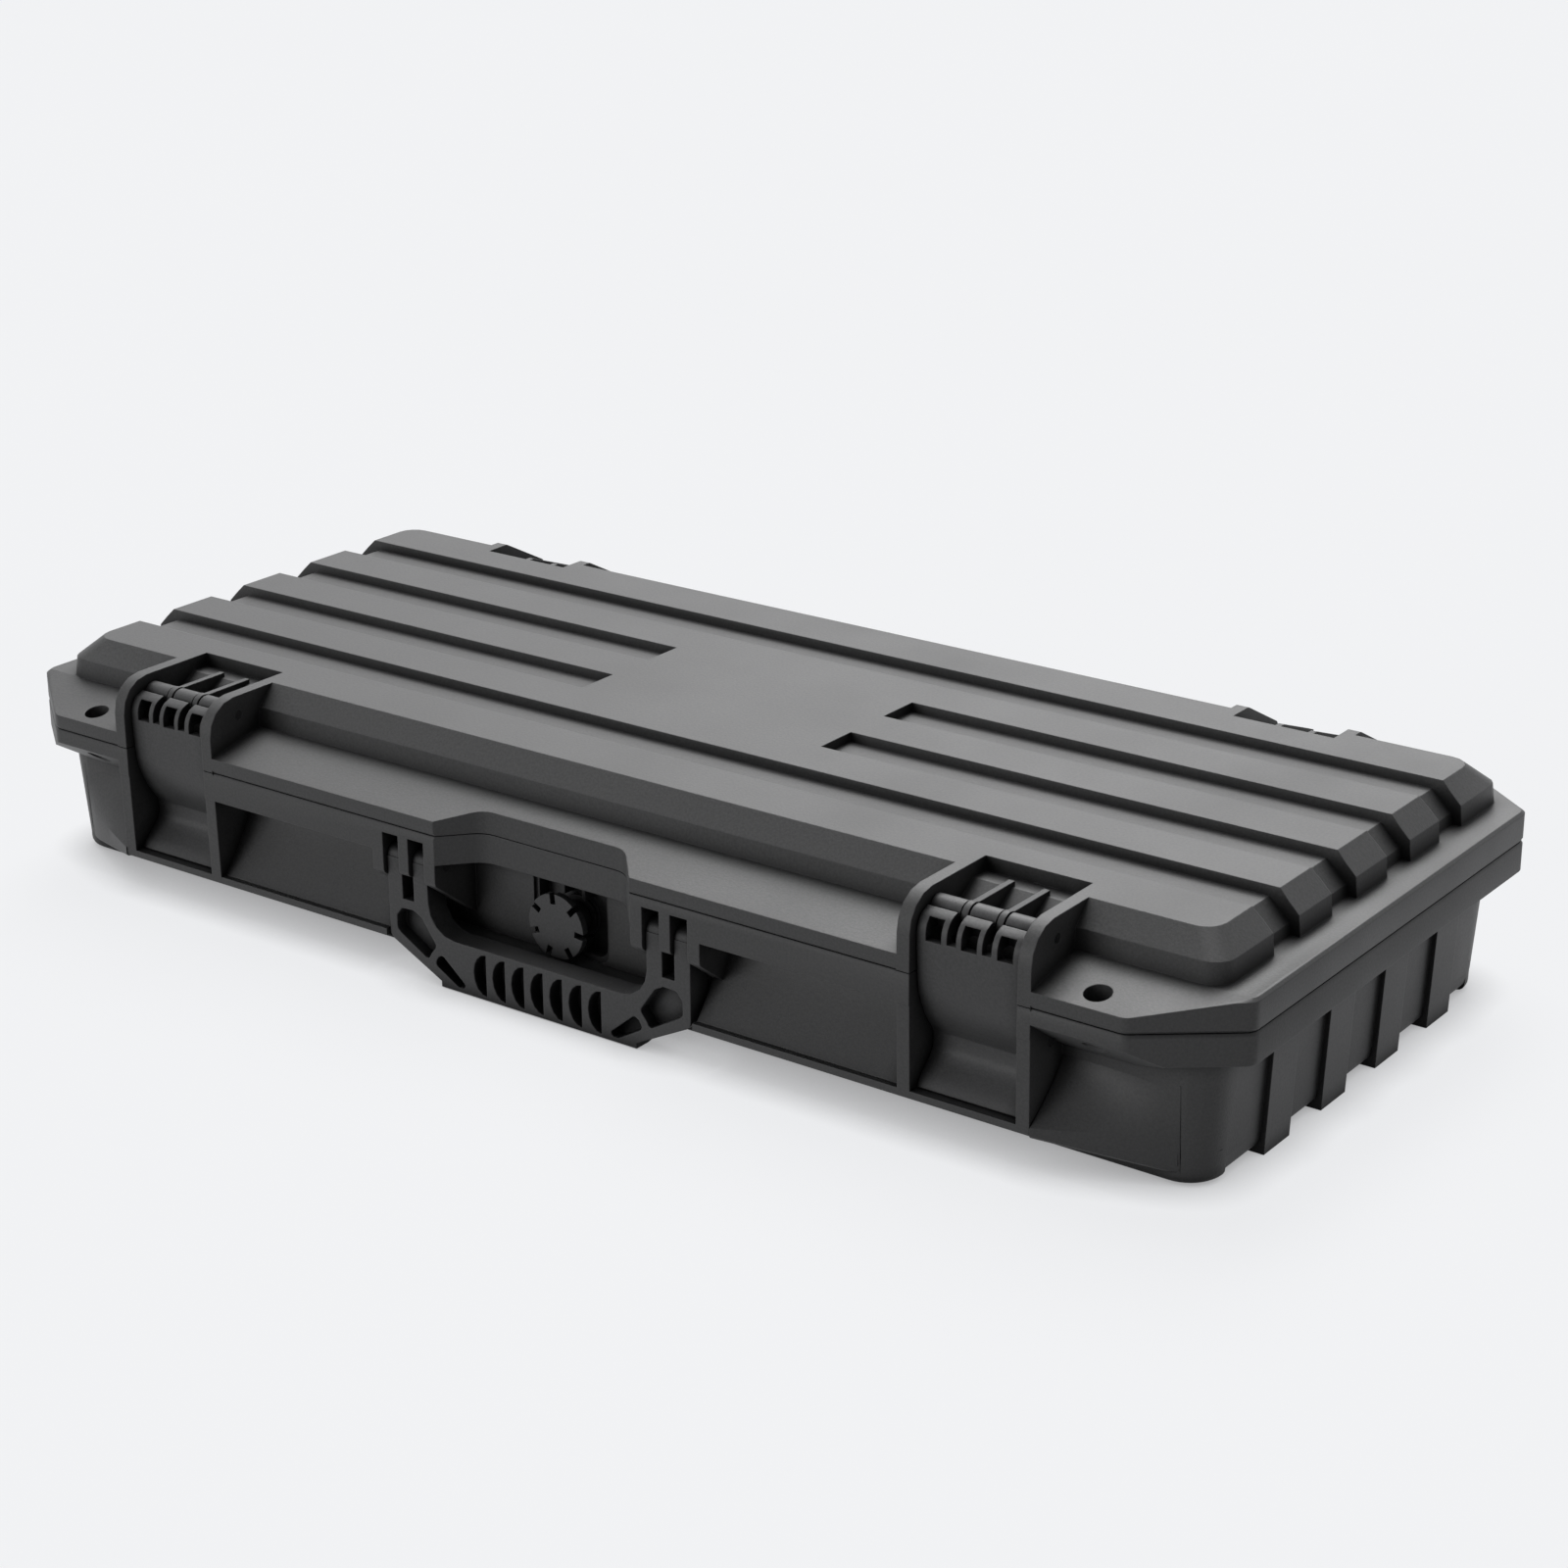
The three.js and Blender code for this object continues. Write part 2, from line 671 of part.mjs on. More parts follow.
function panelBlock(inset, top) {
  const shape = (step) =>
    roundedRect(panel_length / 2 - step, panel_front_y + step, panel_rear_y - step, panel_corner_round);
  const shoulder = top - panel_chamfer;
  return loft([
    [lid_rim_top_z - overrun, shape(inset)],
    [shoulder, shape(inset + panel_draft)],
    [top, shape(inset + panel_draft + panel_chamfer)],
  ]);
}

// Section of one rib or of the patch in the middle, as an outline in Y and Z
function ribSection(y, width) {
  const half = width / 2;
  const low = lid_rim_top_z - overrun;
  const left = y - half;
  const right = y + half;
  return outline([
    [left - groove_flare, low],
    [right + groove_flare, low],
    [right + groove_flare, groove_floor_z],
    [right, case_height + overrun],
    [left, case_height + overrun],
    [left - groove_flare, groove_floor_z],
  ]);
}

function lidPanel() {
  const middle = (rib_count - 1) / 2;
  const ribs = Array.from({ length: rib_count }, (_, i) => {
    const y = panel_offset_y + rib_pitch * (i - middle);
    const edge_rib = i === 0 || i === rib_count - 1;
    const extra = edge_rib ? rib_pitch - rib_width : 0;
    return prismX(ribSection(y + (Math.sign(i - middle) * extra) / 2, rib_width + extra), -panel_length, panel_length);
  });
  const patch = prismX(ribSection(panel_offset_y, rib_width + 2 * rib_pitch), -patch_length / 2, patch_length / 2);
  const full = panelBlock(0, case_height);
  return join(panelBlock(groove_depth, groove_floor_z), full.intersect(join(ribs, patch)));
}

function lidShell() {
  const cavity = loft([
    [lid_seam_z - overrun, bodyOutline(0, side_wall, long_wall)],
    [roof_z - panel_chamfer, bodyOutline(0, side_wall + wall_draft, long_wall + wall_draft)],
    [roof_z, bodyOutline(0, side_wall + panel_chamfer, long_wall + panel_chamfer)],
  ]);
  const hollow = cut(cavity, everyBay(lidBaySkin));
  const blank = join(lidRim(), lidPanel(), everyBay(lidCheeks));
  const open = join(cut(blank, everyBay(lidBayRoom)), everyBay(lidBayRibs));
  const holes = [
    everyBay(lidPinHole),
    padlockHoles(seam_z - overrun, lid_rim_top_z + overrun),
    fingerNotch(seam_z - overrun, lid_rim_top_z + overrun),
    sealRing(lid_seam_z - overrun, lid_seam_z + seal_tongue_height + clearance + seal_height, seal_width / 2 + clearance / 2),
  ].flat();
  return cut(open, hollow, holes);
}

// Seal in the lid's groove, above the tongue of the base
function lidSeal() {
  const low = seam_z + seam_gap + seal_tongue_height + clearance / 2;
  return sealRing(low, low + seal_height - clearance / 2, seal_width / 2 - clearance / 2);
}

// Latch lever: outer face as shares of the pivot's inset and of the lever's height, top first
const latch_face_shares = [
  [0.36, 1], [0.6, 0.975], [0.74, 0.925], [0.78, 0.856], [0.75, 0.66], [0.68, 0.53],
  [0.43, 0.379], [0.13, 0.268], [0.06, 0.198], [0.17, 0.116], [0.42, 0.02], [0.47, 0],
];
function latchFace() {
  const low = shelf_top_z + clearance + latch_wall / 2;
  const height = pivot_z + ear_radius / 2 - low;
  const face = latch_face_shares.map(([out, up]) => new THREE.Vector2(pivot_y - out * pivot_inset, low + up * height));
  return new THREE.SplineCurve(face).getPoints(3 * arc_steps);
}
function latchProfile() {
  const front = latchFace();
  const back = front.map((point, i) => {
    const before = front[Math.max(0, i - 1)];
    const after = front[Math.min(front.length - 1, i + 1)];
    const along = after.clone().sub(before).normalize();
    return new THREE.Vector2(point.x - along.y * latch_wall, point.y + along.x * latch_wall);
  });
  return [...front, ...back.reverse()];
}

function latchLever(x) {
  const half = bay_width / 2 - bay_side_gap;
  const plate = prismX(latchProfile(), x - half, x + half);
  const barrel = barX(barrel_radius, x - half, x + half, pivot_y, pivot_z);
  const arm = [
    [pivot_y, pivot_z - barrel_radius],
    [pivot_y, pivot_z],
    [pivot_y - pivot_inset / 2, pivot_z + latch_wall / 2],
    [pivot_y - pivot_inset / 2 - latch_wall, pivot_z - barrel_radius],
  ];
  const neck = prismX(outline(arm), x - half, x + half);
  const jaw_radius = catch_pin_radius + hook_play + hook_wall;
  const jaw = barX(jaw_radius, x - half, x + half, catch_pin_y, catch_pin_z);
  const bearing_cut = catch_pin_radius + hook_play;
  const mouth = box(x - half - overrun, x + half + overrun, catch_pin_y, catch_pin_y + 2 * jaw_radius,
    catch_pin_z - bearing_cut, catch_pin_z + bearing_cut);
  const shadow = box(x - half, x + half, catch_pin_y - 3 * jaw_radius, catch_pin_y + jaw_radius, catch_pin_z - jaw_radius, catch_pin_z + jaw_radius);
  const outside = cut(jaw.intersect(shadow), latchFaceRoom(x));
  const slot_half = (bay_rib_thickness + latch_slot_extra) / 2;
  const slot_foot = pivot_z - latch_slot_drop;
  const slots = bay_rib_places.map((shift) =>
    box(x + shift - slot_half, x + shift + slot_half, front_y - overrun, pivot_y + 2 * barrel_radius, slot_foot, case_height));
  const third = (bay_width / 2 + bay_rib_offset) / 2;
  const window_z = pivot_z - latch_window_drop;
  const windows = [-third, 0, third].map((shift) =>
    box(x + shift - latch_window_width / 2, x + shift + latch_window_width / 2, front_y - overrun, pivot_y - barrel_radius - clearance,
      window_z - latch_window_height / 2, window_z + latch_window_height / 2));
  const bore = barX(pin_radius + pin_play, x - half - overrun, x + half + overrun, pivot_y, pivot_z);
  const catch_bore = barX(bearing_cut, x - half - overrun, x + half + overrun, catch_pin_y, catch_pin_z);
  return cut(join(plate, barrel, neck, outside), mouth, catch_bore, slots, windows, bore);
}

// Everything in front of the latch's outer face
function latchFaceRoom(x) {
  const half = bay_width / 2 + overrun;
  const front = latchFace();
  const far = front_y - pivot_inset;
  const rim = [...front, new THREE.Vector2(far, front.at(-1).y), new THREE.Vector2(far, front[0].y)];
  return prismX(rim, x - half, x + half);
}

// Hinge leaf: a link from the pin in the lid's cheeks to the knuckle on the hinge axis, forked
// around the ribs of the bay
function hingeLeaf(x) {
  const half = bay_width / 2 - bay_side_gap;
  const link = outline([
    [leaf_pin_y, leaf_pin_z - barrel_radius],
    [leaf_pin_y, leaf_pin_z + barrel_radius],
    [hinge_axis_y, seam_z + hinge_knuckle_radius],
    [hinge_axis_y, seam_z],
    [hinge_axis_y - hinge_knuckle_radius + clearance, seam_z + clearance],
  ]);
  const body = prismX(link, x - half, x + half);
  const barrel = barX(barrel_radius, x - half, x + half, leaf_pin_y, leaf_pin_z);
  const knuckle = barX(hinge_knuckle_radius, x - half, x + half, hinge_axis_y, seam_z);
  const slot_half = (bay_rib_thickness + latch_slot_extra) / 2;
  const slot_end = rear_y + clearance;
  const slots = bay_rib_places.map((shift) =>
    box(x + shift - slot_half, x + shift + slot_half, wall_rear_y, slot_end, leaf_pin_z - ear_radius - clearance, case_height));
  const upper = barX(pin_radius + clearance, x - half - overrun, x + half + overrun, leaf_pin_y, leaf_pin_z);
  const lower = barX(pin_radius + pin_play, x - half - overrun, x + half + overrun, hinge_axis_y, seam_z);
  return cut(join(body, barrel, knuckle), slots, upper, lower);
}

// Headless pin along X that ends flush with the cheeks
const crossPin = (x, half, radius, y, z) => barX(radius - clearance / 2, x - half, x + half, y, z, 2 * arc_steps);

// Handle, drawn hanging in its own front view: a flat frame with a deeper, rounded grip
function handleBody() {
  const a = handle_width / 2;
  const inner = a - handle_leg_width;
  const top = handle_pivot_z;
  const grip_top = handle_bottom_z + handle_grip_height;
  const face_y = handle_pivot_y - handle_thickness / 2;
  const back_y = face_y + handle_grip_thickness;
  const outside = [
    [a, top, 0],
    [a, handle_bottom_z + handle_corner_rise, handle_side_round],
    [a - handle_corner_run, handle_bottom_z, handle_foot_round],
  ];
  const opening = [[inner, top + 2 * handle_tine_radius, 0], [inner, grip_top, handle_opening_round]];
  const frame = prismY(outline(bothSides(outside)), face_y, face_y + handle_thickness);
  const gap = prismY(outline(bothSides(opening)), face_y - overrun, back_y + overrun);
  const grip_section = outline([
    [face_y, handle_bottom_z, 0],
    [back_y, handle_bottom_z, handle_grip_round],
    [back_y, grip_top, handle_grip_round],
    [face_y, grip_top, overrun],
  ]);
  const grip = prismX(grip_section, lug_plate - inner, inner - lug_plate);
  const solid_frame = cut(join(cut(frame, gap), grip), bothLegs(-overrun, handle_leg_width + overrun, handleCrown));
  const tips = bothLegs(0, handle_leg_width, (x0, x1) => barX(handle_tine_radius, x0, x1, handle_pivot_y, handle_pivot_z));
  const forks = bothLegs(handle_tine_width, handle_leg_width - handle_tine_width, handleFork);
  const bores = bothLegs(-overrun, handle_leg_width + overrun, (x0, x1) =>
    barX(pin_radius + pin_play, x0, x1, handle_pivot_y, handle_pivot_z));
  const pockets = signs.flatMap((side) => cornerPockets(side, inner, face_y));
  return cut(join(solid_frame, tips), forks, gripSlots(face_y), pockets, bores);
}

// Pieces of both legs between two distances from the leg's inner edge
function bothLegs(from, to, make) {
  const inner = handle_width / 2 - handle_leg_width;
  return signs.map((side) => {
    const [x0, x1] = [side * (inner + from), side * (inner + to)].sort((p, q) => p - q);
    return make(x0, x1);
  });
}
const handleCrown = (x0, x1) =>
  box(x0, x1, handle_pivot_y - handle_thickness, handle_pivot_y + handle_thickness, handle_pivot_z, case_height);
const handleFork = (x0, x1) =>
  box(x0, x1, handle_pivot_y - handle_thickness, handle_pivot_y + handle_thickness, handle_fork_z, case_height);

// Half-moon slots across the face of the grip
function gripSlots(face_y) {
  const middle = (grip_slot_count - 1) / 2;
  const z = handle_bottom_z + grip_slot_rise;
  return Array.from({ length: grip_slot_count }, (_, i) => {
    const straight_x = (i - middle) * grip_slot_pitch + grip_slot_width / 2;
    const moon = Array.from({ length: arc_steps + 1 }, (_, step) => {
      const angle = Math.PI * (step / arc_steps - 1 / 2);
      return new THREE.Vector2(
        straight_x - grip_slot_width * Math.cos(angle),
        z + (grip_slot_height / 2) * Math.sin(angle),
      );
    });
    return prismY(moon, face_y - overrun, face_y + grip_slot_depth);
  });
}

// Weight-saving pockets in the lower corners of the handle's front face, as shares of the leg's
// width from its inner edge and of the height up to the fork
const corner_pocket_shares = [
  [[-0.18, 0.505], [-0.03, 0.387], [0.045, 0.3], [0.74, 0.547], [0.82, 0.6], [0.82, 0.77], [0.68, 0.876], [0.38, 0.884], [0.18, 0.82]],
  [[-0.89, 0.11], [-0.32, 0.41], [-0.21, 0.374], [-0.11, 0.27], [-0.7, 0.058], [-0.83, 0.058]],
];
function cornerPockets(side, inner, face_y) {
  const height = handle_fork_z - handle_bottom_z;
  return corner_pocket_shares.map((pocket) => {
    const corners = pocket.map(([u, v]) => [
      side * (inner + u * handle_leg_width),
      handle_bottom_z + v * height,
      corner_pocket_round,
    ]);
    return prismY(outline(corners), face_y - overrun, face_y + corner_pocket_depth);
  });
}

// Pressure valve: slotted knob on a hub, body through the wall, seal and nut
const knob_back_y = valve_seat_y - valve_flange_length - valve_seal_length - clearance;
const knob_face_y = wall_front_y - valve_knob_reach;
const valveRod = (radius, y0, y1, sides) => barY(radius, y0, y1, 0, valve_z, sides);

function valveBody() {
  const flange_y = knob_back_y + clearance;
  const flange = valveRod(valve_flange_radius, flange_y, flange_y + valve_flange_length);
  const stem = valveRod(valve_stem_radius, flange_y, valve_seat_y + bay_wall + valve_thread_length);
  const core = valveRod(valve_core_radius, (knob_face_y + knob_back_y) / 2, valve_seat_y);
  return join(flange, stem, core);
}
function valveKnob() {
  const disc = valveRod(valve_knob_radius, knob_face_y, knob_face_y + valve_disc_length);
  const hub = valveRod(valve_hub_radius, knob_face_y + overrun, knob_back_y);
  const bore = valveRod(valve_core_radius + pin_play, (knob_face_y + knob_back_y) / 2 - pin_play, knob_back_y + overrun);
  const notches = Array.from({ length: valve_notch_count }, (_, i) => {
    const turn = valve_notch_turn + (i / valve_notch_count) * 2 * Math.PI;
    const slot = new THREE.BoxGeometry(valve_notch_width, 2 * valve_disc_length + overrun, 2 * valve_notch_depth);
    slot.translate(0, knob_face_y, valve_knob_radius).rotateY(turn);
    return solid(slot.translate(0, 0, valve_z));
  });
  return cut(join(disc, hub), notches, bore);
}
function valveSeal() {
  const low = valve_seat_y - valve_seal_length;
  const ring = valveRod(valve_flange_radius, low + clearance / 2, valve_seat_y - clearance / 2);
  return cut(ring, valveRod(valve_stem_radius + clearance, low - overrun, valve_seat_y + overrun));
}
function valveNut() {
  const inside = valve_seat_y + bay_wall + clearance;
  const nut = valveRod(valve_nut_width / 2, inside, inside + valve_nut_length, 6);
  return cut(nut, valveRod(valve_stem_radius + clearance, inside - overrun, inside + valve_nut_length + overrun));
}

// Foam: flat pad, die-cut tray with a pocket for each watch, and the lid's pad
function foamOutline(grow) {
  return bodyOutline(0, side_wall + wall_draft + foam_play + grow, long_wall + wall_draft + foam_play + grow);
}
function valveRoom() {
  const reach = valve_seat_y + bay_wall + valve_thread_length + 2 * foam_play;
  const half = valve_pocket_width / 2 + bay_wall + foam_play;
  return box(-half, half, wall_front_y, reach + foam_play, 0, base_rim_bottom_z + bay_wall + foam_play);
}
function foamPad() {
  return cut(prismZ(foamOutline(0), floor_z + clearance, floor_z + foam_pad_height), valveRoom());
}
function foamTray() {
  const low = floor_z + foam_pad_height + clearance;
  const sheet = prismZ(foamOutline(0), low, foam_tray_top_z);
  const room_x = body_length - 2 * (side_wall + wall_draft + foam_play + pocket_margin_x);
  const room_y = body_depth - 2 * (long_wall + wall_draft + foam_play + pocket_margin_y);
  const pocket_length = (room_x - (pocket_columns - 1) * pocket_gap_x) / pocket_columns;
  const pocket_depth = (room_y - (pocket_rows - 1) * pocket_gap_y) / pocket_rows;
  const holes = [];
  for (let column = 0; column < pocket_columns; column++) {
    for (let row = 0; row < pocket_rows; row++) {
      const x = (column - (pocket_columns - 1) / 2) * (pocket_length + pocket_gap_x);
      const y = (row - (pocket_rows - 1) / 2) * (pocket_depth + pocket_gap_y);
      const r = pocket_round;
      const hx = pocket_length / 2;
      const hy = pocket_depth / 2;
      const rim = outline([[x - hx, y - hy, r], [x + hx, y - hy, r], [x + hx, y + hy, r], [x - hx, y + hy, r]]);
      holes.push(prismZ(rim, low - overrun, foam_tray_top_z + overrun));
    }
  }
  return cut(sheet, valveRoom(), holes);
}
function lidFoam() {
  const inset = side_wall + wall_draft + foam_play;
  const edge = long_wall + wall_draft + foam_play;
  const sheet = loft([
    [lid_seam_z, bodyOutline(0, inset, edge)],
    [roof_z - panel_chamfer, bodyOutline(0, inset, edge)],
    [roof_z - clearance, bodyOutline(0, inset + panel_chamfer, edge + panel_chamfer)],
  ]);
  const half = cheek_outer + foam_play;
  const rooms = everyBay((x, bay) => prismX(lidBayProfile(bay, bay_wall + foam_play), x - half, x + half));
  return cut(sheet, rooms);
}

// Finishes
const shell_plastic = { color: 0x4a4a4b, roughness: 0.62, metalness: 0 };
const latch_plastic = { color: 0x444445, roughness: 0.55, metalness: 0 };
const handle_plastic = { color: 0x404041, roughness: 0.6, metalness: 0 };
const knob_plastic = { color: 0x48484a, roughness: 0.55, metalness: 0 };
const pin_steel = { color: 0x8d8f92, roughness: 0.35, metalness: 1 };
const seal_rubber = { color: 0x1b1b1c, roughness: 0.85, metalness: 0 };
const foam_grey = { color: 0x2a2b2d, roughness: 0.95, metalness: 0 };

const group = new THREE.Group();
function add(name, body, finish) {
  const mesh = new THREE.Mesh(geometryOf(body), new THREE.MeshStandardMaterial(finish));
  mesh.name = name;
  group.add(mesh);
}

add("base_shell", baseShell(), shell_plastic);
add("lid_shell", lidShell(), shell_plastic);
add("lid_seal", lidSeal(), seal_rubber);
add("base_foam_pad", foamPad(), foam_grey);
add("base_foam_tray", foamTray(), foam_grey);
add("lid_foam", lidFoam(), foam_grey);
add("handle", handleBody(), handle_plastic);
add("valve_body", valveBody(), latch_plastic);
add("valve_knob", valveKnob(), knob_plastic);
add("valve_seal", valveSeal(), seal_rubber);
add("valve_nut", valveNut(), latch_plastic);
for (const side of signs) {
  const name = sideName(side);
  const x = side * bay_centre_x;
  const handle_x = side * (handle_width / 2 - handle_leg_width / 2);
  const handle_pin_half = handle_leg_width / 2 + lug_play + lug_plate;
  add(`latch_${name}`, latchLever(x), latch_plastic);
  add(`latch_pin_${name}`, crossPin(x, cheek_outer, pin_radius, pivot_y, pivot_z), pin_steel);
  add(`catch_pin_${name}`, crossPin(x, cheek_outer, catch_pin_radius, catch_pin_y, catch_pin_z), pin_steel);
  add(`hinge_leaf_${name}`, hingeLeaf(x), latch_plastic);
  add(`leaf_pin_${name}`, crossPin(x, cheek_outer, pin_radius, leaf_pin_y, leaf_pin_z), pin_steel);
  add(`hinge_pin_${name}`, crossPin(x, cheek_outer, pin_radius, hinge_axis_y, seam_z), pin_steel);
  add(`handle_pin_${name}`, crossPin(handle_x, handle_pin_half, pin_radius, handle_pivot_y, handle_pivot_z), pin_steel);
}

// Origin under the middle of the case's outer box
const bounds = new THREE.Box3().setFromObject(group);
group.position.set(0, -(bounds.min.y + bounds.max.y) / 2, -bounds.min.z);

export default group;
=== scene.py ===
# Studio picture of a long ribbed hard case: moulded charcoal plastic, pale floor, soft light.
import json
import math

import bmesh
import bpy
from mathutils import Matrix, Vector, noise


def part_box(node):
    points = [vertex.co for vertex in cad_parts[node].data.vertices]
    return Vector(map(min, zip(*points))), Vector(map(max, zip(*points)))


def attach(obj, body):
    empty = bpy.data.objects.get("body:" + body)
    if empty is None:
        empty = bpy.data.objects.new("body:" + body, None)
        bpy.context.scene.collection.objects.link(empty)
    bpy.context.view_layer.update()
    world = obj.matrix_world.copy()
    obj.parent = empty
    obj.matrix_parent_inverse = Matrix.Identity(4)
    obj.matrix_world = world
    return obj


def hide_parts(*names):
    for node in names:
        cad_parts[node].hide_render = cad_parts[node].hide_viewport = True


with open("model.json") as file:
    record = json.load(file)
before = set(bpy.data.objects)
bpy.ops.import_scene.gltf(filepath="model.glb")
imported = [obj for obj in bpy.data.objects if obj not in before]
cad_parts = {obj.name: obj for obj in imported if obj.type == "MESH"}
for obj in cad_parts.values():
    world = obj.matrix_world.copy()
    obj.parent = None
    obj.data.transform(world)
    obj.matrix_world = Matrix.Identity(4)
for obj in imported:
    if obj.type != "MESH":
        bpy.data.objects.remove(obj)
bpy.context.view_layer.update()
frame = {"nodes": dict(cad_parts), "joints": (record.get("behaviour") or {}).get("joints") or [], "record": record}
nodes = frame["nodes"]
joints = {joint["name"]: joint for joint in frame["joints"]}
scene = bpy.context.scene

# Lengths below are in millimetres and angles in degrees; MM turns a length into metres
MM = 0.001

# Camera solved from the photograph, with its focal length and centre in photograph pixels
IMAGE_PX = 1600
FOCAL_PX = 3370.4
CENTRE_PX = (809.84, 783.52)
SENSOR_WIDTH = 36
CAMERA_TARGET = (-10.7, 46.9, 49.1)
CAMERA_DISTANCE = 1517.4
CAMERA_AZIMUTH = 36.053
CAMERA_ELEVATION = 20.574
CAMERA_ROLL = -0.194
FAR_CLIP = 100_000

# Suns: azimuth, elevation, strength and angular width
SUNS = {
    "high_back_left": (225, 67, 1.75, 30),
    "key_back_left": (207, 45, 1.65, 26),
    "low_back_left": (205, 22, 0.12, 28),
    "low_front_left": (335, 12, 0.75, 30),
}

# Surroundings: what lights the case, and what the camera and mirrored rays see instead
WORLD_COLOUR = (0.97, 0.98, 1, 1)
WORLD_STRENGTH = 0.015
HORIZON_COLOUR = (0.875, 0.882, 0.898, 1)
FLOOR_HALF_SIZE = 40_000
FLOOR_COLOUR = (0.2, 0.2, 0.202, 1)
BACKDROP_COLOUR = (0.815, 0.822, 0.838, 1)
BACKDROP_DARK = 0.995
BACKDROP_LIGHT = 1.005
SHADOW_COLOUR = (0.07, 0.07, 0.07, 1)
# Painted contact shade: the floor's glow falls to this colour within a reach of the case
CONTACT_SHADE_COLOUR = (0.3, 0.3, 0.305, 1)
CONTACT_SHADE_REACH = 20

# Moulded plastic of each slot: base colour, roughness and rounding of the edges
PLASTICS = {
    "shell": ((0.06, 0.06, 0.0605, 1), 0.5, 0.7),
    "latch": ((0.064, 0.064, 0.065, 1), 0.46, 0.7),
    "handle": ((0.06, 0.06, 0.061, 1), 0.5, 1.0),
    "knob": ((0.06, 0.06, 0.061, 1), 0.48, 0.5),
    "fittings": ((0.03, 0.03, 0.031, 1), 0.45, 0.4),
}

# Other materials: base colours, and the stretch of the steel's brushing
RUBBER_COLOUR = (0.012, 0.012, 0.013, 1)
FOAM_COLOUR = (0.028, 0.029, 0.031, 1)
STEEL_COLOUR = (0.1, 0.1, 0.102, 1)
BRUSH_STRETCH = (0.05, 1, 1)

# All moulded plastic: tones as shares of its colour, spread of roughness, sheen and grain
CLOUD_DARK = 0.84
CLOUD_LIGHT = 0.96
CLOUD_SHINIER = 0.04
CLOUD_DULLER = 0.05
SPECKLE_TONE = 1.4
SPECKLE_SHARE = 0.7
# Lighter edges, partly rubbed wear and partly painted highlight: their tone, and the least and most share of it
RUBBED_AND_HIGHLIGHT_TONE = 1.7
RUBBED_AND_HIGHLIGHT_LEAST = 0.15
RUBBED_AND_HIGHLIGHT_MOST = 0.6
PLASTIC_SHEEN = 0.36
GRAIN_STRENGTH = 0.35
GRAIN_DEPTH = 0.22

# Painted shade in recesses of the plastic: between open and closed, colour and sheen fall to a share
RECESS_SHADE_REACH = 9
RECESS_SHADE_SHARE = 0.25
RECESS_SHADE_CLOSED = 0.45
RECESS_SHADE_OPEN = 0.95

# Smoothing: steeper edges stay sharp, and closer corners are joined
SMOOTH_ANGLE = 32
WELD_DISTANCE = 0.005

# Foam: its pores, softened skin and unevenness, and the rows of peaks in the lid
FOAM_SEED = 1
FOAM_PORES_PER_METRE = 700
FOAM_VOXEL = 3.2
FOAM_SOFTENING = 0.5
FOAM_SOFTENING_ROUNDS = 4
FOAM_WOBBLE = 0.5
FOAM_WOBBLES_PER_METRE = 30
CRATE_PITCH = 26
CRATE_DEPTH = 9
CRATE_FADE = 1.6

# Walls of the base: outline at their foot, rounded corners and lean outward per height
HALF_BODY = 303.5
WALL_FRONT = -126.6
WALL_REAR = 113.4
CORNER_ROUND = 16
CORNER_STEPS = 10
WALL_LEAN = 0.055
WALL_LEAN_START = 6.5

# Foot of the walls: inset and rise of its round, inset and height of the steps above it
FOOT_ROUND = ((4.2, 0), (2.2, 0.4), (0.9, 1.3), (0.2, 2.6), (0, 4.2))
FOOT_BACK_INSET = 2.5
FOOT_BACK_LOW = 7.2
STRIP_TOP = 9.3
SKIRT_TOP = 14
SKIRT_STEPS = ((-0.16, STRIP_TOP), (-0.25, SKIRT_TOP))
STRIP_STEPS = ((-0.03, FOOT_BACK_LOW), (0.02, STRIP_TOP))

# Pieces of the foot: lower edge, upper steps, and where they end in front and behind
SKIRT_FOOT = 2.7
STRIP_FOOT = 0.8
FRONT_STRIP_END = -109.9
REAR_STRIP_START = 97.4
FOOT_PIECES = {
    "foot_skirt": (SKIRT_FOOT, SKIRT_STEPS, -math.inf, math.inf),
    "foot_strip_front": (STRIP_FOOT, STRIP_STEPS, -math.inf, FRONT_STRIP_END),
    "foot_strip_rear": (STRIP_FOOT, STRIP_STEPS, REAR_STRIP_START, math.inf),
}

# Guard shelf along the front
SHELF_FRONT = -151.2
SHELF_TOP = 20.3
SHELF_LIP = 2.8
SHELF_LIP_FOOT = 16.3

# Skins of the front wall that lean out to the shelf: bend, edges and back inside the wall
SLOPE_BEND = 1.35
SLOPE_STEPS = 8
SLOPE_SINK = 0.2
SLOPE_GAP = 0.15
SLOPE_BACK_INSET = 1
SLOPE_BACK = WALL_FRONT + SLOPE_BACK_INSET
FIELD_START = 83
FIELD_END = 181.9
FIELD_TOP = 53
FIELD_DIP = 0.5

# End of the shelf, from beside the latch down to the foot of the corner
TAPER_START = 242.4
TAPER_END = 293
TAPER_TOP = 43
TAPER_FOOT = 5.5
TAPER_BACK_FOOT = 9.5
TAPER_COVER = 0.4
TAPER_SINK = 0.3
TAPER_EDGE_RISE = 1
TAPER_EDGE_DEPTH = 0.8

# Flared toe of a latch: shares of the lever's reach before its pivot and of its height
LEVER_REACH = 18
LEVER_HEIGHT = 73
TOE_FOOT = 20.9
TOE_FACE_TOP = ((0.11, 0.29), (0.085, 0.2), (0.17, 0.15))
TOE_FACE_FOOT = ((0.32, 0.11), (0.5, 0.07), (0.64, 0.035), (0.71, 0))
TOE_BACK = ((0.44, 0), (0.38, 0.02), (0.12, 0.116), (0.02, 0.2), (0.05, 0.29))


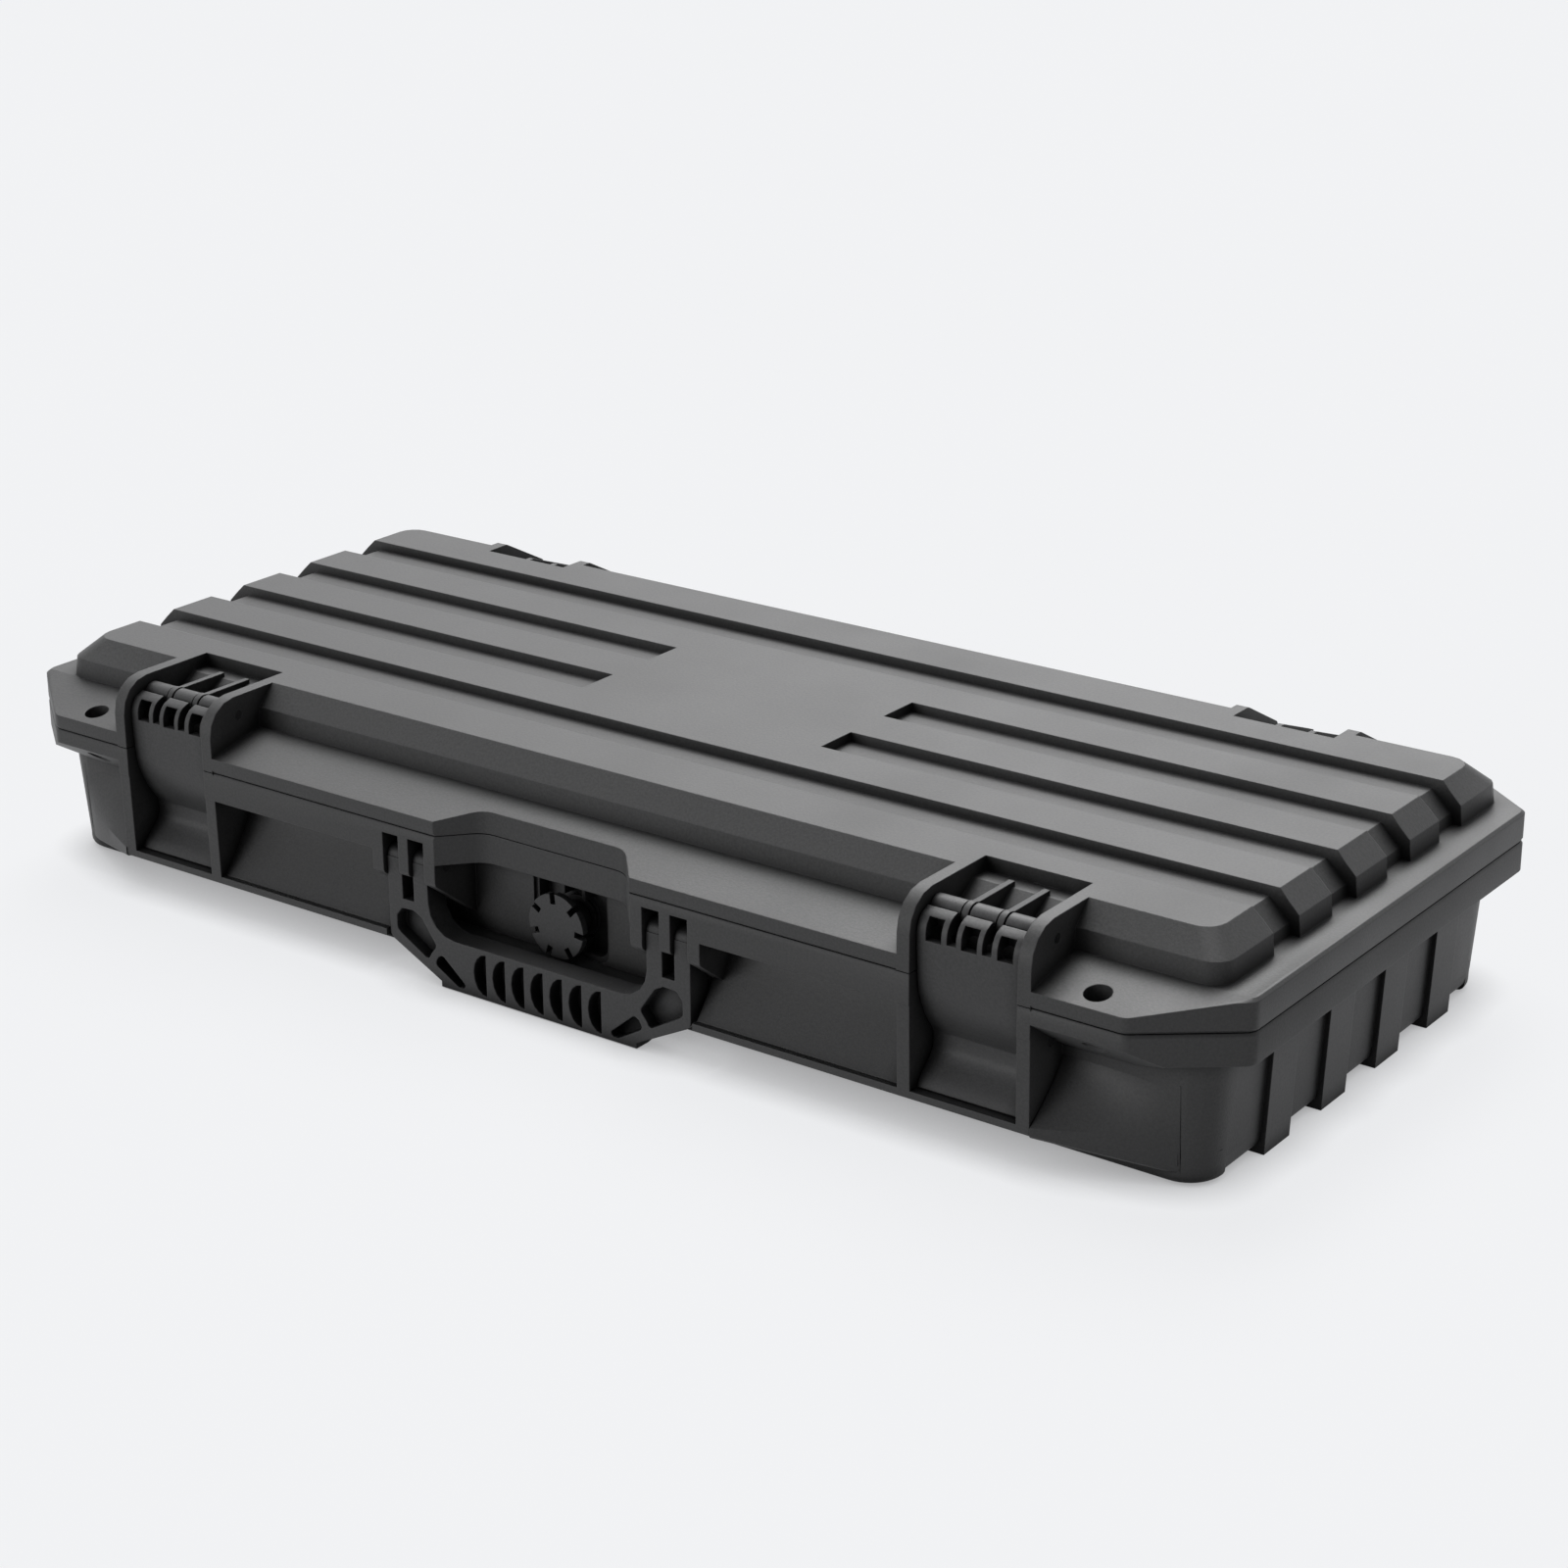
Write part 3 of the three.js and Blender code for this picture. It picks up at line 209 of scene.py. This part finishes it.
def link(tree, source, target):
    tree.links.new(source, target)


def new_material(name):
    material = bpy.data.materials.new(name)
    material.use_nodes = True
    tree = material.node_tree
    return material, tree, tree.nodes["Principled BSDF"]


def object_coords(tree):
    return tree.nodes.new("ShaderNodeTexCoord").outputs["Object"]


def add_noise(tree, coords, scale, detail=2.0, roughness=0.5):
    node = tree.nodes.new("ShaderNodeTexNoise")
    node.inputs["Scale"].default_value = scale
    node.inputs["Detail"].default_value = detail
    node.inputs["Roughness"].default_value = roughness
    link(tree, coords, node.inputs["Vector"])
    return node.outputs["Fac"]


# Spread of a value between two others; unless told, it takes the middle range of a noise
def add_range(tree, value, low, high, from_low=0.3, from_high=0.7):
    node = tree.nodes.new("ShaderNodeMapRange")
    node.inputs["From Min"].default_value = from_low
    node.inputs["From Max"].default_value = from_high
    node.inputs["To Min"].default_value = low
    node.inputs["To Max"].default_value = high
    link(tree, value, node.inputs["Value"])
    return node.outputs["Result"]


# Mix of two colours: a mix node has its colours at inputs 6 and 7 and output 2
def add_mix(tree, factor, first, second):
    node = tree.nodes.new("ShaderNodeMix")
    node.data_type = "RGBA"
    link(tree, factor, node.inputs[0])
    for socket, value in ((node.inputs[6], first), (node.inputs[7], second)):
        if isinstance(value, tuple):
            socket.default_value = value
        else:
            link(tree, value, socket)
    return node.outputs[2]


def add_math(tree, operation, first, second):
    node = tree.nodes.new("ShaderNodeMath")
    node.operation = operation
    link(tree, first, node.inputs[0])
    link(tree, second, node.inputs[1])
    return node.outputs[0]


def add_bump(tree, height, strength, depth, normal=None):
    node = tree.nodes.new("ShaderNodeBump")
    node.inputs["Strength"].default_value = strength
    node.inputs["Distance"].default_value = depth * MM
    link(tree, height, node.inputs["Height"])
    if normal is not None:
        link(tree, normal, node.inputs["Normal"])
    return node.outputs["Normal"]


# How open the surroundings of a point are, within a reach
def add_openness(tree, reach, samples):
    node = tree.nodes.new("ShaderNodeAmbientOcclusion")
    node.samples = samples
    node.inputs["Distance"].default_value = reach * MM
    return node.outputs["AO"]


def add_rounded_normal(tree, radius, samples=6):
    node = tree.nodes.new("ShaderNodeBevel")
    node.samples = samples
    node.inputs["Radius"].default_value = radius * MM
    return node.outputs["Normal"]


# Mask of rubbed wear and painted highlight along the edges: where the rounded normal leaves the face's own normal
def add_edge_mask(tree, rounded):
    geometry = tree.nodes.new("ShaderNodeNewGeometry")
    dot = tree.nodes.new("ShaderNodeVectorMath")
    dot.operation = "DOT_PRODUCT"
    link(tree, rounded, dot.inputs[0])
    link(tree, geometry.outputs["Normal"], dot.inputs[1])
    return add_range(tree, dot.outputs["Value"], 1, 0, from_low=0.86, from_high=1.0)


def shade(colour, factor):
    return tuple(channel * factor for channel in colour[:3]) + (1,)


# Fine-textured moulded plastic with softly rounded edges, lighter along them by rubbed wear and painted highlight,
# and painted shade in its recesses
def moulded_plastic(name, colour, roughness, edge_round):
    material, tree, shader = new_material(name)
    coords = object_coords(tree)
    rounded = add_rounded_normal(tree, edge_round)
    cloud = add_noise(tree, coords, scale=14, detail=4, roughness=0.55)
    clouded = add_range(tree, cloud, 0, 1)
    tone = add_mix(tree, clouded, shade(colour, CLOUD_DARK), shade(colour, CLOUD_LIGHT))
    speckle = add_range(tree, add_noise(tree, coords, scale=900, roughness=0.6), 0, SPECKLE_SHARE)
    mottled = add_mix(tree, speckle, tone, shade(colour, SPECKLE_TONE))
    # Lighter along the edges in patches: partly rubbed wear, partly painted highlight where the rounding catches
    # light
    edge_noise = add_noise(tree, coords, scale=60, detail=3, roughness=0.6)
    rubbing_and_highlight = add_range(tree, edge_noise, RUBBED_AND_HIGHLIGHT_LEAST, RUBBED_AND_HIGHLIGHT_MOST)
    wear_and_highlight = add_math(tree, "MULTIPLY", add_edge_mask(tree, rounded), rubbing_and_highlight)
    worn_and_highlit = add_mix(tree, wear_and_highlight, mottled, shade(colour, RUBBED_AND_HIGHLIGHT_TONE))
    # Painted shade: colour and sheen fall where the surroundings close in, in grooves, creases and recesses
    openness = add_openness(tree, RECESS_SHADE_REACH, samples=6)
    opened = add_range(tree, openness, 0, 1, RECESS_SHADE_CLOSED, RECESS_SHADE_OPEN)
    recess_shaded = add_mix(tree, opened, shade(colour, RECESS_SHADE_SHARE), worn_and_highlit)
    sheen = add_range(tree, opened, RECESS_SHADE_SHARE * PLASTIC_SHEEN, PLASTIC_SHEEN, 0, 1)
    dullness = add_range(tree, cloud, roughness - CLOUD_SHINIER, roughness + CLOUD_DULLER)
    grain = add_noise(tree, coords, scale=850, roughness=0.7)
    link(tree, recess_shaded, shader.inputs["Base Color"])
    link(tree, sheen, shader.inputs["Specular IOR Level"])
    link(tree, dullness, shader.inputs["Roughness"])
    link(tree, add_bump(tree, grain, GRAIN_STRENGTH, GRAIN_DEPTH, rounded), shader.inputs["Normal"])
    return material


# Steel of the pins, brushed along their length
def steel(name):
    material, tree, shader = new_material(name)
    stretched = tree.nodes.new("ShaderNodeMapping")
    stretched.inputs["Scale"].default_value = BRUSH_STRETCH
    link(tree, object_coords(tree), stretched.inputs["Vector"])
    brushed = add_noise(tree, stretched.outputs["Vector"], scale=4000, roughness=0.6)
    tone = add_mix(tree, brushed, shade(STEEL_COLOUR, 0.85), STEEL_COLOUR)
    link(tree, tone, shader.inputs["Base Color"])
    link(tree, add_range(tree, brushed, 0.28, 0.42), shader.inputs["Roughness"])
    link(tree, add_bump(tree, brushed, strength=0.2, depth=0.05), shader.inputs["Normal"])
    shader.inputs["Metallic"].default_value = 1
    return material


# Dull rubber with a little dust
def rubber(name):
    material, tree, shader = new_material(name)
    coords = object_coords(tree)
    dust = add_noise(tree, coords, scale=120, detail=4, roughness=0.6)
    pimples = add_noise(tree, coords, scale=2500)
    tone = add_mix(tree, dust, RUBBER_COLOUR, shade(RUBBER_COLOUR, 2.2))
    link(tree, tone, shader.inputs["Base Color"])
    link(tree, add_range(tree, dust, 0.72, 0.9), shader.inputs["Roughness"])
    link(tree, add_bump(tree, pimples, strength=0.3, depth=0.1), shader.inputs["Normal"])
    return material


# Open-cell foam: small dark pores over a cloudy grey
def foam(name):
    material, tree, shader = new_material(name)
    coords = object_coords(tree)
    cells = tree.nodes.new("ShaderNodeTexVoronoi")
    cells.inputs["Scale"].default_value = FOAM_PORES_PER_METRE
    link(tree, coords, cells.inputs["Vector"])
    pores = add_range(tree, cells.outputs["Distance"], 0, 1, from_low=0.1, from_high=0.6)
    cloud = add_noise(tree, coords, scale=25, detail=4, roughness=0.6)
    tone = add_mix(tree, cloud, shade(FOAM_COLOUR, 0.85), shade(FOAM_COLOUR, 1.3))
    link(tree, add_mix(tree, pores, shade(FOAM_COLOUR, 0.3), tone), shader.inputs["Base Color"])
    link(tree, add_range(tree, cloud, 0.9, 1.0), shader.inputs["Roughness"])
    link(tree, add_bump(tree, pores, strength=0.8, depth=0.5), shader.inputs["Normal"])
    shader.inputs["Sheen Weight"].default_value = 0.15
    return material


# One material for each slot of the record
def make_looks():
    looks = {slot: moulded_plastic(f"{slot}_plastic", *values) for slot, values in PLASTICS.items()}
    looks["seal"] = rubber("seal_rubber")
    looks["foam"] = foam("open_cell_foam")
    looks["pins"] = steel("pin_steel")
    return looks


# Modifier that joins split vertices and smooths every edge flatter than the angle
def smoothing_group():
    group = bpy.data.node_groups.new("smooth_flat_edges", "GeometryNodeTree")
    group.interface.new_socket("Geometry", in_out="INPUT", socket_type="NodeSocketGeometry")
    group.interface.new_socket("Geometry", in_out="OUTPUT", socket_type="NodeSocketGeometry")
    start = group.nodes.new("NodeGroupInput").outputs[0]
    end = group.nodes.new("NodeGroupOutput").inputs[0]
    weld = group.nodes.new("GeometryNodeMergeByDistance")
    weld.inputs["Distance"].default_value = WELD_DISTANCE * MM
    smooth = group.nodes.new("GeometryNodeSetShadeSmooth")
    smooth.domain = "FACE"
    sharp = group.nodes.new("GeometryNodeSetShadeSmooth")
    sharp.domain = "EDGE"
    sharp.inputs["Shade Smooth"].default_value = False
    angle = group.nodes.new("GeometryNodeInputMeshEdgeAngle")
    steep = group.nodes.new("FunctionNodeCompare")
    steep.data_type = "FLOAT"
    steep.operation = "GREATER_THAN"
    steep.inputs[1].default_value = math.radians(SMOOTH_ANGLE)
    link(group, start, weld.inputs["Geometry"])
    link(group, weld.outputs["Geometry"], smooth.inputs["Geometry"])
    link(group, smooth.outputs["Geometry"], sharp.inputs["Geometry"])
    link(group, angle.outputs["Unsigned Angle"], steep.inputs[0])
    link(group, steep.outputs["Result"], sharp.inputs["Selection"])
    link(group, sharp.outputs["Geometry"], end)
    return group


# Give an object its material and the smoothing modifier
def dress(obj, material, group):
    obj.data.materials.clear()
    obj.data.materials.append(material)
    smooth = obj.modifiers.new("smooth", "NODES")
    smooth.node_group = group


# Remeshed copy of a solid with rounded edges
def softened_mesh(name, node):
    rough = bpy.data.objects.new(name, nodes[node].data.copy())
    scene.collection.objects.link(rough)
    remesh = rough.modifiers.new("remesh", "REMESH")
    remesh.mode = "VOXEL"
    remesh.voxel_size = FOAM_VOXEL * MM
    remesh.adaptivity = 0
    soften = rough.modifiers.new("soften", "SMOOTH")
    soften.factor = FOAM_SOFTENING
    soften.iterations = FOAM_SOFTENING_ROUNDS
    depsgraph = bpy.context.evaluated_depsgraph_get()
    mesh = bpy.data.meshes.new_from_object(rough.evaluated_get(depsgraph))
    bpy.data.objects.remove(rough)
    return mesh


# Soft foam piece remade from its solid, with every point moved by the shaping function
def foam_piece(name, node, body, material, shape):
    mesh = softened_mesh(name, node)
    low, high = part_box(node)
    for vertex in mesh.vertices:
        vertex.co = shape(vertex.co, low, high)
    mesh.polygons.foreach_set("use_smooth", [True] * len(mesh.polygons))
    mesh.materials.clear()
    mesh.materials.append(material)
    piece = bpy.data.objects.new(name, mesh)
    scene.collection.objects.link(piece)
    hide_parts(node)
    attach(piece, body)


# Slightly uneven skin that stays inside the solid's box
def uneven(point, low, high):
    wobble = noise.noise_vector(point * FOAM_WOBBLES_PER_METRE) * FOAM_WOBBLE * MM
    moved = point + wobble
    return Vector([min(max(value, least), most) for value, least, most in zip(moved, low, high)])


# Egg-crate sheet: rows of rounded peaks and hollows on the side that faces the watches
def crate(point, low, high):
    top_share = (point.z - low[2]) / (high[2] - low[2])
    pitch = CRATE_PITCH * MM
    wave = math.sin(math.tau * point.x / pitch) * math.sin(math.tau * point.y / pitch)
    fade = 1 - min(1, max(0, top_share * CRATE_FADE))
    lift = CRATE_DEPTH * MM * 0.5 * (1 + wave) * fade
    return uneven(point + Vector((0, 0, lift)), low, high)


# Closed skin through a row of loops with the same number of points
def lofted_skin(name, body, material, group, loops):
    form = bmesh.new()
    rings = [[form.verts.new(Vector(point) * MM) for point in loop] for loop in loops]
    for low, high in zip(rings, rings[1:]):
        for i, corner in enumerate(low):
            j = (i + 1) % len(low)
            form.faces.new((corner, low[j], high[j], high[i]))
    form.faces.new(rings[0][::-1])
    form.faces.new(rings[-1])
    bmesh.ops.recalc_face_normals(form, faces=form.faces)
    mesh = bpy.data.meshes.new(name)
    form.to_mesh(mesh)
    form.free()
    piece = bpy.data.objects.new(name, mesh)
    scene.collection.objects.link(piece)
    dress(piece, material, group)
    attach(piece, body)


def between(first, last, share):
    return first + share * (last - first)


# Outline of the walls at a height, cut straight off in front and behind
def wall_outline(inset, z, front_end, rear_end):
    x = HALF_BODY - CORNER_ROUND
    front = WALL_FRONT + CORNER_ROUND
    rear = WALL_REAR - CORNER_ROUND
    radius = CORNER_ROUND - inset
    points = []
    for centre_x, centre_y, start in ((x, front, -90), (x, rear, 0), (-x, rear, 90), (-x, front, 180)):
        for step in range(CORNER_STEPS + 1):
            turn = math.radians(start + 90 * step / CORNER_STEPS)
            y = centre_y + radius * math.sin(turn)
            points.append((centre_x + radius * math.cos(turn), min(max(y, front_end), rear_end), z))
    return points


# Rounded foot of the walls: a skirt all around, and lower strips along front and rear
def base_foot(material, group):
    for name, (foot, upper_steps, front_end, rear_end) in FOOT_PIECES.items():
        top = upper_steps[-1][1]
        steps = [(inset, foot + rise) for inset, rise in FOOT_ROUND]
        steps += [*upper_steps, (FOOT_BACK_INSET, top), (FOOT_BACK_INSET, FOOT_BACK_LOW)]
        loops = [wall_outline(inset, z, front_end, rear_end) for inset, z in steps]
        lofted_skin(name, "base", material, group, loops)


def wall_y(z):
    return WALL_FRONT - WALL_LEAN * (z - WALL_LEAN_START)


# How far the rounded corner draws the front wall back
def corner_pull(x, z):
    past = abs(x) - HALF_BODY + CORNER_ROUND - WALL_LEAN * (z - WALL_LEAN_START)
    return CORNER_ROUND - math.sqrt(CORNER_ROUND ** 2 - max(0, past) ** 2)


# Curve that leaves the wall at the top and leans out by the reach down to the shelf
def slope_curve(x, top, reach):
    curve = []
    for step in range(SLOPE_STEPS + 1):
        down = step / SLOPE_STEPS
        z = between(top, SHELF_TOP + SLOPE_GAP, down)
        hidden = wall_y(z) + corner_pull(x, z) + SLOPE_SINK
        curve.append((x, hidden - (reach + SLOPE_SINK) * down ** SLOPE_BEND, z))
    return curve


# Front wall between handle and latch, from its top down to behind the shelf's lip
def field_loop(x):
    lip = SHELF_FRONT + SHELF_LIP
    low = SHELF_TOP - FIELD_DIP
    curve = slope_curve(x, FIELD_TOP, wall_y(SHELF_TOP) - lip)
    return [(x, SLOPE_BACK, FIELD_TOP), *curve, (x, lip, low), (x, SLOPE_BACK, low)]


# End of the shelf at a share of its way down to the foot of the corner
def taper_loop(side, share):
    x = side * between(TAPER_START, TAPER_END, share)
    foot = between(SHELF_LIP_FOOT, TAPER_FOOT, share)
    reach = between(wall_y(SHELF_TOP) - SHELF_FRONT + TAPER_COVER, -TAPER_SINK, share)
    curve = slope_curve(x, TAPER_TOP, reach)
    front = curve[-1][1] + share * WALL_LEAN * (SHELF_TOP - foot)
    edge = [(x, front, foot + TAPER_EDGE_RISE), (x, front + TAPER_EDGE_DEPTH, foot)]
    back_foot = min(foot, TAPER_BACK_FOOT)
    return [(x, SLOPE_BACK, TAPER_TOP), *curve, *edge, (x, SLOPE_BACK, back_foot)]


def front_slopes(material, group):
    for side, word in ((-1, "left"), (1, "right")):
        field = [field_loop(side * x) for x in (FIELD_START, FIELD_END)]
        lofted_skin(f"field_wall_{word}", "base", material, group, field)
        taper = [taper_loop(side, step / SLOPE_STEPS) for step in range(SLOPE_STEPS + 1)]
        lofted_skin(f"shelf_end_{word}", "base", material, group, taper)


# Flared toes, placed from the pivot and width of each lever
def latch_toes(material, group):
    for word in ("left", "right"):
        pivot = Vector(joints[f"latch_{word}_pivot"]["pos_m"]) / MM
        low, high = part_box(f"latch_{word}")
        half_width = (high[0] - low[0]) / MM / 2
        profile = []
        for out, up in TOE_FACE_TOP + TOE_FACE_FOOT + TOE_BACK:
            profile.append((pivot.y - out * LEVER_REACH, TOE_FOOT + up * LEVER_HEIGHT))
        ends = (pivot.x - half_width, pivot.x + half_width)
        loops = [[(x, y, z) for y, z in profile] for x in ends]
        lofted_skin(f"latch_toe_{word}", f"latch_{word}", material, group, loops)


# Unit vector toward an azimuth, counted from the front to the right, and an elevation
def direction(azimuth, elevation):
    a = math.radians(azimuth)
    e = math.radians(elevation)
    return Vector((math.sin(a) * math.cos(e), -math.cos(a) * math.cos(e), math.sin(e)))


def place_camera():
    data = bpy.data.cameras.new("camera")
    data.sensor_width = SENSOR_WIDTH
    data.lens = FOCAL_PX / IMAGE_PX * SENSOR_WIDTH
    data.shift_x = (IMAGE_PX / 2 - CENTRE_PX[0]) / IMAGE_PX
    data.shift_y = (CENTRE_PX[1] - IMAGE_PX / 2) / IMAGE_PX
    data.clip_end = FAR_CLIP * MM
    camera = bpy.data.objects.new("camera", data)
    scene.collection.objects.link(camera)
    back = direction(CAMERA_AZIMUTH, CAMERA_ELEVATION)
    place = Matrix.Translation((Vector(CAMERA_TARGET) + back * CAMERA_DISTANCE) * MM)
    turn = back.to_track_quat("Z", "Y").to_matrix().to_4x4()
    roll = Matrix.Rotation(math.radians(CAMERA_ROLL), 4, "Z")
    camera.matrix_world = place @ turn @ roll
    scene.camera = camera


# Sun with a wide angle, so that its shadows are soft
def soft_sun(name, azimuth, elevation, strength, angle):
    data = bpy.data.lights.new(name, "SUN")
    data.energy = strength
    data.angle = math.radians(angle)
    light = bpy.data.objects.new(name, data)
    toward = direction(azimuth, elevation)
    light.rotation_euler = toward.to_track_quat("Z", "Y").to_euler()
    scene.collection.objects.link(light)


# One for rays that show the surroundings: from the camera, mirrored or passed through
def add_mirror_rays(tree):
    ray = tree.nodes.new("ShaderNodeLightPath")
    total = ray.outputs["Is Camera Ray"]
    for name in ("Is Glossy Ray", "Is Transmission Ray"):
        total = add_math(tree, "MAXIMUM", total, ray.outputs[name])
    return total


# Surface that lights the case in one way and is seen in another
def add_seen_surface(tree, lighting, seen, output):
    choice = tree.nodes.new("ShaderNodeMixShader")
    link(tree, add_mirror_rays(tree), choice.inputs["Fac"])
    link(tree, lighting, choice.inputs[1])
    link(tree, seen, choice.inputs[2])
    link(tree, choice.outputs["Shader"], tree.nodes[output].inputs["Surface"])


def light_scene():
    for name, settings in SUNS.items():
        soft_sun(name, *settings)
    world = bpy.data.worlds.new("studio")
    scene.world = world
    world.use_nodes = True
    tree = world.node_tree
    faint = tree.nodes["Background"]
    faint.inputs["Color"].default_value = WORLD_COLOUR
    faint.inputs["Strength"].default_value = WORLD_STRENGTH
    pale = tree.nodes.new("ShaderNodeBackground")
    pale.inputs["Color"].default_value = HORIZON_COLOUR
    add_seen_surface(tree, faint.outputs["Background"], pale.outputs["Background"], "World Output")


# Floor that lights the case like a matt grey sheet, seen as an even pale glow with lit shade where the case shades
# it and painted contact shade where it stands close
def floor_material():
    material, tree, shader = new_material("floor")
    tree.nodes.remove(shader)
    cloud = add_noise(tree, object_coords(tree), scale=1.5)
    dark = shade(BACKDROP_COLOUR, BACKDROP_DARK)
    light = shade(BACKDROP_COLOUR, BACKDROP_LIGHT)
    backdrop = add_mix(tree, cloud, dark, light)
    # Painted contact shade: the glow darkens toward the contact shade colour where the case stands close
    openness = add_openness(tree, CONTACT_SHADE_REACH, samples=8)
    glow = tree.nodes.new("ShaderNodeEmission")
    link(tree, add_mix(tree, openness, CONTACT_SHADE_COLOUR, backdrop), glow.inputs["Color"])
    shaded = tree.nodes.new("ShaderNodeBsdfDiffuse")
    shaded.inputs["Color"].default_value = SHADOW_COLOUR
    seen = tree.nodes.new("ShaderNodeAddShader")
    link(tree, glow.outputs["Emission"], seen.inputs[0])
    link(tree, shaded.outputs["BSDF"], seen.inputs[1])
    lit = tree.nodes.new("ShaderNodeBsdfDiffuse")
    lit.inputs["Color"].default_value = FLOOR_COLOUR
    add_seen_surface(tree, lit.outputs["BSDF"], seen.outputs["Shader"], "Material Output")
    return material


def lay_floor():
    grid = bmesh.new()
    bmesh.ops.create_grid(grid, x_segments=8, y_segments=8, size=FLOOR_HALF_SIZE * MM)
    mesh = bpy.data.meshes.new("floor")
    grid.to_mesh(mesh)
    grid.free()
    mesh.materials.append(floor_material())
    floor = bpy.data.objects.new("floor", mesh)
    scene.collection.objects.link(floor)


# Materials for every solid, the skins that refine base and latches, and the soft foam
def dress_case():
    group = smoothing_group()
    looks = make_looks()
    for entry in frame["record"]["subparts"]:
        dress(nodes[entry["node"]], looks[entry["material_slot"]], group)
    base_foot(looks["shell"], group)
    front_slopes(looks["shell"], group)
    latch_toes(looks["latch"], group)
    noise.seed_set(FOAM_SEED)
    foam_piece("foam_pad", "base_foam_pad", "base", looks["foam"], uneven)
    foam_piece("foam_tray", "base_foam_tray", "base", looks["foam"], uneven)
    foam_piece("foam_lid_crate", "lid_foam", "lid", looks["foam"], crate)


place_camera()
light_scene()
lay_floor()
dress_case()
scene.view_settings.view_transform = "Standard"
